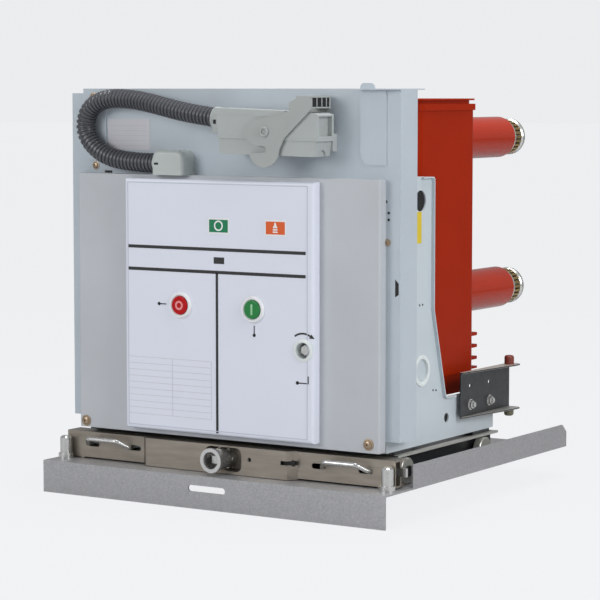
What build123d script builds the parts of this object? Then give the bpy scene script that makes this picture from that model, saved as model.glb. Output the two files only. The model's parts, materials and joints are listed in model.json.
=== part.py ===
from build123d import *
import math
import os

os.makedirs("parts", exist_ok=True)

# Withdrawable indoor vacuum circuit breaker on its tray. Millimetres.
# X runs across the front, Y from the front to the contacts, Z up.
# Sizes are written from the tray's front flange (Y = 0) and the tray's top face (Z = 0);
# save() moves every piece so that the origin is the middle of the tray's underside.

# Widths that the rest follow: the poles' spacing sets the case, and the case sets the tray.
PITCH = 210.0
POLE_HALF = 75.0
SIDE_GAP = 21.0
CASE_HALF = PITCH + POLE_HALF + SIDE_GAP
TRAY_MARGIN = 41.0

# Tray
TRAY_W = 2 * (CASE_HALF + TRAY_MARGIN)
TRAY_D = 654.0
TRAY_T = 3.0
FLANGE_H = 56.0
FLANGE_SLOT_W = 75.0
FLANGE_SLOT_H = 11.0
FLANGE_SLOT_Z = -21.5
WALL_FRONT = 90.0
WALL_H = 38.0
WALL_CUT_Y = 16.0
WALL_CUT_Z = 14.0

# Locating pins
PIN_X = TRAY_W / 2 - 19.0
PIN_Y = 40.0
PIN_R = 10.0
PIN_H = 39.5
PIN_TIP = 3.0
PIN_BASE_R = 13.0
PIN_BASE_H = 9.0

# Crossbar
BAR_HALF = TRAY_W / 2 - 13.0
BAR_Y = 54.0
BAR_D = 36.0
BAR_T = 3.0
BAR_Z0 = 3.0
BAR_Z1 = 48.0
FOOT_W = 30.0
FOOT_D = 24.0
FOOT_X = BAR_HALF - 34.0

# Crossbar cover
COVER_LEFT = -154.0
COVER_RIGHT = 134.0
COVER_SLOPE = 14.0
COVER_Y = 40.0
COVER_T = 2.0
COVER_Z0 = 1.0
COVER_Z1 = 49.0
COVER_HOLE_X = 7.0
COVER_HOLE_HALF = 37.0
COVER_HOLE_H = 41.0
COVER_HOLE_R = 12.0
COVER_PEEP_X = 60.0
COVER_PEEP_Z = 29.0
COVER_PEEP_R = 3.5
COVER_SLOT_X0 = 122.0
COVER_SLOT_H = 7.0

# Racking socket and lead screw
SCREW_Z = 26.0
SOCKET_Y = 12.0
SOCKET_RING_R = 21.0
SOCKET_RING_T = 5.0
SOCKET_R = 18.0
SOCKET_BORE_R = 14.5
HEX_CORNER_R = 20.0
HEX_T = 10.0
BEARING_T = 6.0
BEARING_HALF = 55.0
SCREW_R = 8.0
SCREW_SQUARE = 13.0
SCREW_SQUARE_L = 26.0
SCREW_Y = 26.0
RUNNING = 0.05
TRAVEL = 200.0

# Crossbar handles
GRIP_OUT = BAR_HALF - 47.0
GRIP_IN = GRIP_OUT - 90.0
GRIP_INSET = 14.0
GRIP_R = 4.0
GRIP_BEND = 9.0
GRIP_REACH = 22.0
GRIP_RISE = 12.0
GRIP_Z = 27.0
GRIP_TRAVEL = 18.0
SLOT_GAP = 0.6
TONGUE_Y = 70.0
TONGUE_T = 6.0
TONGUE_H = 14.0
TONGUE_IN = GRIP_IN - 12.0
TONGUE_OUT = BAR_HALF + 11.0
TONGUE_GAP = 0.3
GUIDE_W = 14.0

# Truck
TRUCK_Y0 = 96.0
TRUCK_Y1 = 446.0
TRUCK_HALF = CASE_HALF + 9.0
TRUCK_T = 3.0
TRUCK_Z0 = 8.0
TRUCK_TOP = 49.0
WEB_X = CASE_HALF - 6.0
NUT_W = 44.0
NUT_D = 32.0
NUT_H = 34.0
WHEEL_R = 22.0
WHEEL_GAP = 0.3
WHEEL_X0 = CASE_HALF + 1.0
WHEEL_W = 14.0
WHEEL_EDGE = 1.0
WHEEL_YS = (118.0, 390.0)
AXLE_R = 6.0
AXLE_CAP_R = 9.0
AXLE_CAP_T = 3.0
PAD_X = CASE_HALF - 60.0
PAD_W = 60.0
PAD_YS = (130.0, 400.0)

# Mechanism case
CASE_Z0 = TRUCK_TOP + 6.0
CASE_Z1 = 502.0
CASE_Y1 = 213.0
CASE_T = 3.0
FRONT_Y = 52.0
FRONT_T = 2.0
FRONT_INSET = 1.0
FRONT_Z0 = 57.0
EDGE_R = 3.0

# Front panel and its controls
PANEL_HALF = 191.0
PANEL_Y = 33.0
PANEL_T = 3.0
PANEL_Z0 = 66.0
PANEL_Z1 = 496.0
PANEL_R = 5.0
BUTTON_X = 73.5
BUTTON_Z = 283.0
BUTTON_R = 15.5
BUTTON_GAP = 0.5
BUTTON_EDGE = 1.5
BUTTON_Y = PANEL_Y - 6.0
BUTTON_L = 12.0
STEM_R = 5.0
STEM_L = 7.0
COLLAR_R = 19.5
COLLAR_T = 2.5
CHARGE_X = 171.0
CHARGE_Z = 220.0
CHARGE_HOLE_R = 15.0
CHARGE_R = 9.0
CHARGE_HEX_R = 8.5
CHARGE_Y = PANEL_Y + 6.0
CHARGE_HEX_L = 11.0
CHARGE_BOSS_R = 16.0
CHARGE_BOSS_L = 12.0

# Side plates of the case
SIDE_T = 3.0
EAR_Y = 214.0
LIP_REACH = 30.0
LEG_Y1 = 444.0
EAR_R = 6.0
NECK_Y = 222.0
NECK_Z = 279.0
NOTCH_Y = 264.0
NOTCH_Z = 127.0
NOTCH_R = 10.0
LIP_W = 6.0
LIP_T = 2.0
LIP_END_Y = 300.0
LIFT_HOLE_R = 17.5
LIFT_Y = 183.0
LIFT_Z = 463.0
GROMMET_HOLE_R = 21.0
GROMMET_Y = 188.0
GROMMET_Z = 180.0
SMALL_HOLE_R = 8.0
SMALL_HOLE_Y = 275.0
SMALL_HOLE_Z = 91.0

# Back plate
BACK_HALF = CASE_HALF + 26.0
BACK_Y = 72.0
BACK_T = 2.0
BACK_Z0 = 75.0
BACK_Z1 = 648.0
BACK_FLANGE_D = 54.0
BACK_CUT_X = 24.0
BACK_CUT_Z = 8.0
GUSSET_X = BACK_HALF - 75.0
GUSSET_Y0 = 60.0
GUSSET_Y1 = 150.0
GUSSET_T = 2.0
FLAP_X1 = CASE_HALF
FLAP_Z0 = 524.0
FLAP_CUT_X = 9.0
FLAP_CUT_Z = 17.0
TAB_W = 27.0
TAB_H = 9.0

# Gland, conduit, plug and bail lever
GLAND_X0 = -137.0
GLAND_X1 = -72.0
GLAND_Y0 = 36.0
GLAND_H = 42.0
GLAND_R = 15.0
GLAND_EDGE = 7.0
GLAND_SOCKET_L = 20.0
TUBE_R = 16.0
PLUG_Y0 = 9.0
PLUG_Y1 = 60.0
PLUG_UPPER = [(20.0, 566.0), (17.0, 606.0), (24.0, 613.0), (204.0, 609.0), (213.0, 606.0), (213.0, 564.0)]
PLUG_LOWER = [(20.0, 567.0), (22.0, 544.0), (26.0, 541.0), (196.0, 538.0), (206.0, 538.0), (210.0, 566.0)]
PLUG_LEDGE = [(18.0, 567.0), (18.0, 570.5), (214.0, 566.5), (214.0, 563.0)]
PLUG_LID = [(10.0, 605.0), (11.0, 616.5), (150.0, 612.0), (150.0, 603.0), (96.0, 603.0), (84.0, 606.0)]
PLUG_LOWER_INSET = 1.5
PLUG_EDGE_OUT = 0.5
PLUG_EDGE_R = 1.5
PLUG_RECESS_D = 8.0
PLUG_RECESS_Y0 = 15.0
PLUG_RECESS_Y1 = 54.0
PLUG_RECESS_Z0 = 571.0
PLUG_RECESS_Z1 = 603.0
PLUG_ARCH_R = 11.0
PLUG_ARCH_D = 10.0
PLUG_FOOT_XS = (22.0, 194.0)
PLUG_FOOT_W = 18.0
PLUG_FOOT_Z0 = 546.0
PLUG_FOOT_Z1 = 575.0
PLUG_NIPPLE_X = 21.0
TUBE_ROUTE = [
    (GLAND_X0, 54.0, 522.0),
    (-194.0, 54.0, 522.0),
    (-254.0, 54.0, 534.0),
    (-291.0, 53.5, 568.0),
    (-286.0, 53.0, 609.0),
    (-250.0, 53.0, 631.0),
    (-190.0, 51.0, 631.0),
    (-130.0, 44.0, 621.0),
    (-66.0, 38.5, 607.5),
    (-4.0, 36.5, 600.0),
]
CHEEK_T = 3.5
CHEEK_GAP = 1.5
PIVOT_X = 114.0
PIVOT_Z = 578.0
PIVOT_R = 6.0
HUB_X = 99.0
HUB_Z = 576.0
HUB_R = 21.5
CAM_X = 113.0
CAM_Z = 549.0
CAM_R = 29.0
CAM_SLOT_R = 5.0
CAM_SLOT = [
    (0.0, 5.0),
    (-14.0, 6.0),
    (-24.0, 10.0),
    (-40.0, 17.0),
    (-40.0, -10.0),
    (-26.0, -7.0),
    (0.0, -5.0),
]
ARM_OUTLINE = [
    (92.0, 596.0),
    (162.0, 612.0),
    (162.0, 626.0),
    (178.0, 633.0),
    (204.0, 636.0),
    (204.0, 615.0),
    (152.0, 568.0),
    (142.0, 549.0),
]
BAIL_X0 = 176.0
BAIL_X1 = 204.0
BAIL_Z0 = 616.0
BAIL_Z1 = 636.0

# Poles
POLE_Y0 = CASE_Y1
POLE_Y1 = 413.0
POLE_Z0 = 157.0
POLE_Z1 = 611.0
POLE_R = 14.0
RIM_H = 11.0
RIM_OUT = 3.0
NECK_H = 6.0
NECK_IN = 5.0
CAP_T = 3.0
CAP_OUT = 5.0
FOOT_HALF = 70.0
FOOT_Y0 = 232.0
FOOT_Y1 = 400.0
POLE_FOOT_Z0 = 123.0
SHELF_D = 34.0
SHELF_T = 4.0
SHED_ZS = (176.0, 197.0, 218.0)
SHED_D = 34.0
SHED_T = 6.0
SHED_EDGE = 2.8
SHED_HALF = 62.0
ARM_ZS = (285.0, 560.0)
BOSS_R = 40.0
BOSS_Y1 = POLE_Y1 + 12.0
SLEEVE_R = 37.0
SLEEVE_Y1 = 635.0
TULIP_R = 33.0
TULIP_Y1 = 686.0
TULIP_BORE_R = 17.5
TULIP_BORE_L = 40.0
TULIP_CHAMFER = 3.0

# Shutter wings
WING_X = CASE_HALF + 8.0
WING_T = 2.0
WING_NARROW = WING_X + 5.0
WING_OUT = WING_X + 26.0
WING_Y0 = 307.0
WING_Y1 = 486.0
WING_Z0 = 86.0
WING_Z1 = 165.0
WING_SPACER_R = 9.0
WING_BOLT_YS = (341.0, 410.0)
WING_BOLT_Z = 107.0
WING_HOLE_R = 3.5
WING_HOLE_Z = 139.5
BUFFER_X = WING_X + 12.0
BUFFER_Y = 466.0
BUFFER_R = 8.5
BUFFER_UP = 16.0
BUFFER_DOWN = 12.0
WING_CORNER = 6.0

# Overlap used where a cut has to pass right through, or a boss has to bite into a wall.
BITE = 1.0

HOME = Location((0, -TRAY_D / 2, TRAY_T))


def save(node, shape):
    export_step(HOME * shape, f"parts/{node}.step")


def block(x0, x1, y0, y1, z0, z1):
    middle = ((x0 + x1) / 2, (y0 + y1) / 2, (z0 + z1) / 2)
    return Location(middle) * Box(x1 - x0, y1 - y0, z1 - z0)


def rod_x(radius, x0, x1, y, z):
    return Location(((x0 + x1) / 2, y, z), (0, 90, 0)) * Cylinder(radius, x1 - x0)


def rod_y(radius, y0, y1, x, z):
    return Location((x, (y0 + y1) / 2, z), (90, 0, 0)) * Cylinder(radius, y1 - y0)


def rod_z(radius, z0, z1, x, y):
    return Location((x, y, (z0 + z1) / 2)) * Cylinder(radius, z1 - z0)


def rod_between(radius, a, b):
    run = Vector(*b) - Vector(*a)
    return extrude(Plane(origin=a, z_dir=run) * Circle(radius), amount=run.length)


def round_slot(x0, x1, y0, y1, z, reach):
    """A slot along X with round ends, centred on x0 and x1, cut along Y."""
    body = block(x0, x1, y0, y1, z - reach, z + reach)
    return body + [rod_y(reach, y0, y1, x, z) for x in (x0, x1)]


def outline_yz(points, x0, x1):
    """Extrude a closed outline of (Y, Z) points from x0 to x1."""
    face = make_face(Polyline(*[(x0, y, z) for y, z in points], close=True))
    return extrude(face, amount=x1 - x0, dir=(1, 0, 0))


def outline_xz(points, y0, y1):
    """Extrude a closed outline of (X, Z) points from y0 to y1."""
    face = make_face(Polyline(*[(x, y0, z) for x, z in points], close=True))
    return extrude(face, amount=y1 - y0, dir=(0, 1, 0))


def outline_xy(points, z0, z1):
    """Extrude a closed outline of (X, Y) points from z0 to z1."""
    face = make_face(Polyline(*[(x, y, z0) for x, y in points], close=True))
    return extrude(face, amount=z1 - z0, dir=(0, 0, 1))


def mirrored(shape):
    return mirror(shape, about=Plane.YZ)


def make_tray():
    half = TRAY_W / 2
    sheet = block(-half, half, 0, TRAY_D, -TRAY_T, 0)
    flange = block(-half, half, 0, TRAY_T, -FLANGE_H, 0)
    outline = [
        (WALL_FRONT, 0),
        (TRAY_D, 0),
        (TRAY_D, WALL_H - WALL_CUT_Z),
        (TRAY_D - WALL_CUT_Y, WALL_H),
        (WALL_FRONT, WALL_H),
    ]
    wall = outline_yz(outline, half - TRAY_T, half)
    slot_half = (FLANGE_SLOT_W - FLANGE_SLOT_H) / 2
    slot = round_slot(-slot_half, slot_half, -BITE, TRAY_T + BITE, FLANGE_SLOT_Z, FLANGE_SLOT_H / 2)
    return sheet + flange + wall + mirrored(wall) - slot


def make_pin(side):
    pin = rod_z(PIN_R, 0, PIN_H, side * PIN_X, PIN_Y)
    pin = chamfer(pin.edges().group_by(Axis.Z)[-1], PIN_TIP)
    return pin + rod_z(PIN_BASE_R, 0, PIN_BASE_H, side * PIN_X, PIN_Y)


def grip_slot(side, leg):
    low, high = sorted((side * (leg - GRIP_TRAVEL), side * leg))
    return round_slot(low, high, 0, BAR_Y + BAR_D, GRIP_Z, GRIP_R + SLOT_GAP)


def make_crossbar():
    y1 = BAR_Y + BAR_D
    front = block(-BAR_HALF, BAR_HALF, BAR_Y, BAR_Y + BAR_T, BAR_Z0, BAR_Z1)
    top = block(-BAR_HALF, BAR_HALF, BAR_Y, y1, BAR_Z1 - BAR_T, BAR_Z1)
    bottom = block(-BAR_HALF, BAR_HALF, BAR_Y, y1, BAR_Z0, BAR_Z0 + BAR_T)
    bar = front + top + bottom
    for side in (-1, 1):
        x0, x1 = sorted((side * FOOT_X, side * (FOOT_X + FOOT_W)))
        bar += block(x0, x1, BAR_Y + BAR_T, BAR_Y + BAR_T + FOOT_D, 0, BAR_Z0)
        for leg in (GRIP_OUT, GRIP_IN):
            bar -= grip_slot(side, leg)
        x0, x1 = sorted((side * (BAR_HALF - GUIDE_W), side * BAR_HALF))
        tongue_low = GRIP_Z - TONGUE_H / 2 - TONGUE_GAP
        tongue_high = GRIP_Z + TONGUE_H / 2 + TONGUE_GAP
        bar += block(x0, x1, TONGUE_Y, TONGUE_Y + TONGUE_T, BAR_Z0, tongue_low)
        bar += block(x0, x1, TONGUE_Y, TONGUE_Y + TONGUE_T, tongue_high, BAR_Z1)
    window = block(
        COVER_HOLE_X - COVER_HOLE_HALF,
        COVER_HOLE_X + COVER_HOLE_HALF,
        0,
        BAR_Y + BAR_T,
        BAR_Z0 + BAR_T,
        BAR_Z1 - BAR_T,
    )
    bar -= window
    bearing_y = BAR_Y + BAR_T + HEX_T
    bar += block(-BEARING_HALF, BEARING_HALF, bearing_y, bearing_y + BEARING_T, BAR_Z0, BAR_Z1)
    bar -= rod_y(SCREW_R + RUNNING, BAR_Y, y1, 0, SCREW_Z)
    return bar


def make_cover():
    left = COVER_LEFT - COVER_SLOPE
    right = COVER_RIGHT + COVER_SLOPE
    shell = outline_xy(
        [(left, BAR_Y), (COVER_LEFT, COVER_Y), (COVER_RIGHT, COVER_Y), (right, BAR_Y)],
        COVER_Z0,
        COVER_Z1,
    )
    shift = COVER_T * (math.sqrt(2) - 1)
    back_y = BAR_Y + COVER_T
    front_y = COVER_Y + COVER_T
    cavity = outline_xy(
        [
            (left + shift, back_y),
            (COVER_LEFT + shift, front_y),
            (COVER_RIGHT - shift, front_y),
            (right - shift, back_y),
        ],
        COVER_Z0 + COVER_T,
        COVER_Z1 - COVER_T,
    )
    cover = shell - cavity
    hole = block(
        COVER_HOLE_X - COVER_HOLE_HALF,
        COVER_HOLE_X + COVER_HOLE_HALF,
        0,
        BAR_Y,
        SCREW_Z - COVER_HOLE_H / 2,
        SCREW_Z + COVER_HOLE_H / 2,
    )
    cover -= fillet(hole.edges().filter_by(Axis.Y), COVER_HOLE_R)
    cover -= rod_y(COVER_PEEP_R, 0, BAR_Y, COVER_PEEP_X, COVER_PEEP_Z)
    slot_low = SCREW_Z + TRAY_T - COVER_SLOT_H / 2
    cover -= block(COVER_SLOT_X0, right, 0, BAR_Y, slot_low, slot_low + COVER_SLOT_H)
    return cover


def make_socket():
    hex_y = BAR_Y + BAR_T
    socket = rod_y(SOCKET_R, SOCKET_Y, hex_y, 0, SCREW_Z)
    socket += rod_y(SOCKET_RING_R, SOCKET_Y, SOCKET_Y + SOCKET_RING_T, 0, SCREW_Z)
    corners = [
        (HEX_CORNER_R * math.cos(math.radians(a)), SCREW_Z + HEX_CORNER_R * math.sin(math.radians(a)))
        for a in range(0, 360, 60)
    ]
    socket += outline_xz(corners, hex_y - HEX_T / 2, hex_y + HEX_T)
    socket -= rod_y(SOCKET_BORE_R, 0, hex_y, 0, SCREW_Z)
    socket -= rod_y(SCREW_R + RUNNING, 0, hex_y + 2 * HEX_T, 0, SCREW_Z)
    return socket


def make_screw():
    square_half = SCREW_SQUARE / 2
    square = block(
        -square_half,
        square_half,
        SCREW_Y,
        SCREW_Y + SCREW_SQUARE_L,
        SCREW_Z - square_half,
        SCREW_Z + square_half,
    )
    end = TRUCK_Y0 + NUT_D + TRAVEL + 2 * SCREW_R
    return square + rod_y(SCREW_R, SCREW_Y + SCREW_SQUARE_L, end, 0, SCREW_Z)


def make_handle(side):
    front = BAR_Y - GRIP_REACH
    bend_y = BAR_Y - GRIP_R
    high = GRIP_Z + GRIP_RISE
    points = [
        (GRIP_OUT, TONGUE_Y, GRIP_Z),
        (GRIP_OUT, bend_y, GRIP_Z),
        (GRIP_OUT - GRIP_INSET, front, high),
        (GRIP_IN + GRIP_INSET, front, high),
        (GRIP_IN, bend_y, GRIP_Z),
        (GRIP_IN, TONGUE_Y, GRIP_Z),
    ]
    path = FilletPolyline(*points, radius=GRIP_BEND)
    start = Plane(origin=points[0], z_dir=(0, -1, 0))
    grip = sweep(start * Circle(GRIP_R), path=path)
    low = GRIP_Z - TONGUE_H / 2
    tongue = block(TONGUE_IN, TONGUE_OUT, TONGUE_Y, TONGUE_Y + TONGUE_T, low, low + TONGUE_H)
    handle = grip + tongue
    return handle if side > 0 else mirrored(handle)


def make_truck():
    web_low = TRUCK_Z0
    plate_low = TRUCK_TOP - TRUCK_T
    truck = block(-TRUCK_HALF, TRUCK_HALF, TRUCK_Y0, TRUCK_Y1, plate_low, TRUCK_TOP)
    for side in (-1, 1):
        x0, x1 = sorted((side * (WEB_X - TRUCK_T), side * WEB_X))
        truck += block(x0, x1, TRUCK_Y0, TRUCK_Y1, web_low, TRUCK_TOP)
    truck += block(-WEB_X, WEB_X, TRUCK_Y0, TRUCK_Y0 + TRUCK_T, web_low, TRUCK_TOP)
    truck += block(-WEB_X, WEB_X, TRUCK_Y1 - TRUCK_T, TRUCK_Y1, web_low, TRUCK_TOP)
    nut_low = SCREW_Z - NUT_H / 2
    truck += block(-NUT_W / 2, NUT_W / 2, TRUCK_Y0, TRUCK_Y0 + NUT_D, nut_low, TRUCK_TOP)
    truck -= rod_y(SCREW_R + RUNNING, TRUCK_Y0 - NUT_D, TRUCK_Y0 + 2 * NUT_D, 0, SCREW_Z)
    axle_z = WHEEL_R + WHEEL_GAP
    cap_x = WHEEL_X0 + WHEEL_W + WHEEL_GAP
    for side in (-1, 1):
        for y in WHEEL_YS:
            x0, x1 = sorted((side * WEB_X, side * (cap_x + AXLE_CAP_T)))
            truck += rod_x(AXLE_R, x0, x1, y, axle_z)
            x0, x1 = sorted((side * cap_x, side * (cap_x + AXLE_CAP_T)))
            truck += rod_x(AXLE_CAP_R, x0, x1, y, axle_z)
            x0, x1 = sorted((side * WEB_X, side * (WHEEL_X0 - WHEEL_GAP)))
            truck += rod_x(AXLE_CAP_R, x0, x1, y, axle_z)
        for y in PAD_YS:
            x0, x1 = sorted((side * PAD_X, side * (PAD_X + PAD_W)))
            truck += block(x0, x1, y - PAD_W / 2, y + PAD_W / 2, TRUCK_TOP, CASE_Z0)
    return truck


def make_wheel(side, y):
    x0, x1 = sorted((side * WHEEL_X0, side * (WHEEL_X0 + WHEEL_W)))
    axle_z = WHEEL_R + WHEEL_GAP
    wheel = rod_x(WHEEL_R, x0, x1, y, axle_z)
    wheel = chamfer(wheel.edges().filter_by(GeomType.CIRCLE), WHEEL_EDGE)
    return wheel - rod_x(AXLE_R + RUNNING, x0 - BITE, x1 + BITE, y, axle_z)


def make_case():
    half = CASE_HALF - SIDE_T
    y0 = BACK_Y + BACK_T
    shell = block(-half, half, y0, CASE_Y1, CASE_Z0, CASE_Z1)
    shell -= block(
        -half + CASE_T,
        half - CASE_T,
        y0 + CASE_T,
        CASE_Y1 - CASE_T,
        CASE_Z0 + CASE_T,
        CASE_Z1 - CASE_T,
    )
    return shell


def make_front_cover():
    half = CASE_HALF - FRONT_INSET
    outer = block(-half, half, FRONT_Y, BACK_Y, FRONT_Z0, CASE_Z1)
    edges = outer.edges().filter_by(Axis.Z).group_by(Axis.Y)[0]
    outer = fillet(edges, EDGE_R)
    inner = block(
        -half + FRONT_T,
        half - FRONT_T,
        FRONT_Y + FRONT_T,
        BACK_Y + FRONT_T,
        FRONT_Z0 + FRONT_T,
        CASE_Z1 - FRONT_T,
    )
    cover = outer - inner
    boss_y = FRONT_Y + FRONT_T + CHARGE_BOSS_L
    cover += rod_y(CHARGE_BOSS_R, FRONT_Y, boss_y, CHARGE_X, CHARGE_Z)
    return cover - rod_y(CHARGE_R + RUNNING, 0, boss_y + BITE, CHARGE_X, CHARGE_Z)


def make_panel():
    outer = block(-PANEL_HALF, PANEL_HALF, PANEL_Y, FRONT_Y, PANEL_Z0, PANEL_Z1)
    outer = fillet(outer.faces().sort_by(Axis.Y)[0].edges(), PANEL_R)
    inner = block(
        -PANEL_HALF + PANEL_T,
        PANEL_HALF - PANEL_T,
        PANEL_Y + PANEL_T,
        FRONT_Y + PANEL_T,
        PANEL_Z0 + PANEL_T,
        PANEL_Z1 - PANEL_T,
    )
    panel = outer - inner
    for side in (-1, 1):
        panel += rod_y(COLLAR_R, PANEL_Y - COLLAR_T, PANEL_Y + PANEL_T, side * BUTTON_X, BUTTON_Z)
        panel -= rod_y(BUTTON_R + BUTTON_GAP, 0, FRONT_Y, side * BUTTON_X, BUTTON_Z)
    return panel - rod_y(CHARGE_HOLE_R, 0, FRONT_Y, CHARGE_X, CHARGE_Z)


def make_button(side):
    x = side * BUTTON_X
    cap = rod_y(BUTTON_R, BUTTON_Y, BUTTON_Y + BUTTON_L, x, BUTTON_Z)
    cap = fillet(cap.edges().group_by(Axis.Y)[0], BUTTON_EDGE)
    return cap + rod_y(STEM_R, BUTTON_Y + BUTTON_L, BUTTON_Y + BUTTON_L + STEM_L, x, BUTTON_Z)


def make_charging_shaft():
    corners = [
        (
            CHARGE_X + CHARGE_HEX_R * math.cos(math.radians(a)),
            CHARGE_Z + CHARGE_HEX_R * math.sin(math.radians(a)),
        )
        for a in range(30, 390, 60)
    ]
    round_y = CHARGE_Y + CHARGE_HEX_L
    shaft = outline_xz(corners, CHARGE_Y, round_y)
    end = FRONT_Y + FRONT_T + CHARGE_BOSS_L
    return shaft + rod_y(CHARGE_R, round_y, end, CHARGE_X, CHARGE_Z)


def make_side_plate(side):
    x0 = CASE_HALF - SIDE_T
    y0 = BACK_Y + BACK_T
    outline = [
        (y0, CASE_Z0),
        (LEG_Y1, CASE_Z0),
        (LEG_Y1, NOTCH_Z),
        (NOTCH_Y, NOTCH_Z),
        (NECK_Y, NECK_Z),
        (NECK_Y, CASE_Z1),
        (y0, CASE_Z1),
    ]
    plate = outline_yz(outline, x0, CASE_HALF)
    ear = plate.edges().filter_by(Axis.X).sort_by(Axis.Z)[-2:].sort_by(Axis.Y)[-1]
    plate = fillet(ear, EAR_R)
    notch = [
        e
        for e in plate.edges().filter_by(Axis.X)
        if abs(e.center().Y - NOTCH_Y) < 1 and abs(e.center().Z - NOTCH_Z) < 1
    ]
    plate = fillet(notch, NOTCH_R)
    rim = plate.faces().sort_by(Axis.X)[-1]
    inset = offset(rim, -LIP_T, kind=Kind.INTERSECTION)
    band = extrude(rim, amount=LIP_W, dir=(1, 0, 0)) - extrude(inset, amount=LIP_W, dir=(1, 0, 0))
    keep = block(x0, CASE_HALF + LIP_W, EAR_Y - LIP_REACH, LIP_END_Y, NOTCH_Z - 2 * LIP_T, CASE_Z1 + LIP_T)
    plate += band & keep
    through = dict(x0=x0 - BITE, x1=CASE_HALF + LIP_W + BITE)
    plate -= rod_x(LIFT_HOLE_R, y=LIFT_Y, z=LIFT_Z, **through)
    plate -= rod_x(GROMMET_HOLE_R, y=GROMMET_Y, z=GROMMET_Z, **through)
    plate -= rod_x(SMALL_HOLE_R, y=SMALL_HOLE_Y, z=SMALL_HOLE_Z, **through)
    return plate if side > 0 else mirrored(plate)


def make_back_plate():
    cut_x = BACK_HALF - BACK_CUT_X
    left_z = BACK_Z1 - BACK_CUT_Z
    right_z = BACK_Z1 - GUSSET_T
    outline = [
        (-BACK_HALF, BACK_Z0),
        (BACK_HALF, BACK_Z0),
        (BACK_HALF, right_z),
        (cut_x, right_z),
        (cut_x, BACK_Z1),
        (-cut_x, BACK_Z1),
        (-cut_x, left_z),
        (-BACK_HALF, left_z),
    ]
    plate = outline_xz(outline, BACK_Y, BACK_Y + BACK_T)
    for side, high in ((-1, left_z), (1, right_z)):
        x0, x1 = sorted((side * (BACK_HALF - BACK_T), side * BACK_HALF))
        plate += block(x0, x1, BACK_Y, BACK_Y + BACK_FLANGE_D, BACK_Z0, high)
    return plate


def make_flap():
    return outline_xz(
        [
            (GUSSET_X, BACK_Z1),
            (GUSSET_X, FLAP_Z0 + FLAP_CUT_Z),
            (GUSSET_X + FLAP_CUT_X, FLAP_Z0),
            (FLAP_X1, FLAP_Z0),
            (FLAP_X1, BACK_Z1),
        ],
        BACK_Y - GUSSET_T,
        BACK_Y,
    )


def make_right_bracket():
    """The right corner has a flap, a flat gusset over the plate's top and an upright tab."""
    top = block(GUSSET_X, BACK_HALF, GUSSET_Y0, GUSSET_Y1, BACK_Z1 - GUSSET_T, BACK_Z1)
    top -= block(GUSSET_X, BACK_HALF - BACK_CUT_X, BACK_Y, BACK_Y + BACK_T, BACK_Z0, BACK_Z1)
    tab = block(GUSSET_X, GUSSET_X + TAB_W, BACK_Y - GUSSET_T, BACK_Y, BACK_Z1 - BITE, BACK_Z1 + TAB_H)
    tab = chamfer(tab.edges().filter_by(Axis.Y).group_by(Axis.Z)[-1], TAB_H / 2)
    return top + make_flap() + tab


def make_gland():
    z0 = CASE_Z1
    dome = block(GLAND_X0, GLAND_X1, GLAND_Y0, BACK_Y, z0, z0 + GLAND_H)
    dome = fillet(dome.edges().filter_by(Axis.Y).group_by(Axis.Z)[-1], GLAND_R)
    dome = fillet(dome.faces().sort_by(Axis.Y)[0].edges().sort_by(Axis.Z)[1:], GLAND_EDGE)
    mouth = TUBE_ROUTE[0]
    return dome + rod_x(TUBE_R, GLAND_X0, GLAND_X0 + GLAND_SOCKET_L, mouth[1], mouth[2])


def route_radii(points):
    radii = []
    for before, here, after in zip(points, points[1:], points[2:]):
        a = Vector(*here) - Vector(*before)
        b = Vector(*after) - Vector(*here)
        turn = math.radians(a.get_angle(b))
        radii.append(0.45 * min(a.length, b.length) / math.tan(turn / 2))
    return radii


def make_conduit():
    radii = route_radii(TUBE_ROUTE)
    print("conduit corner radii", [round(r, 1) for r in radii])
    path = FilletPolyline(*TUBE_ROUTE, radius=radii)
    start = Vector(*TUBE_ROUTE[1]) - Vector(*TUBE_ROUTE[0])
    tube = sweep(Plane(origin=TUBE_ROUTE[0], z_dir=start) * Circle(TUBE_R), path=path)
    expected = math.pi * TUBE_R**2 * path.length
    print("conduit length", round(path.length, 1), "volume ratio", round(tube.volume / expected, 4))
    return tube


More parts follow.
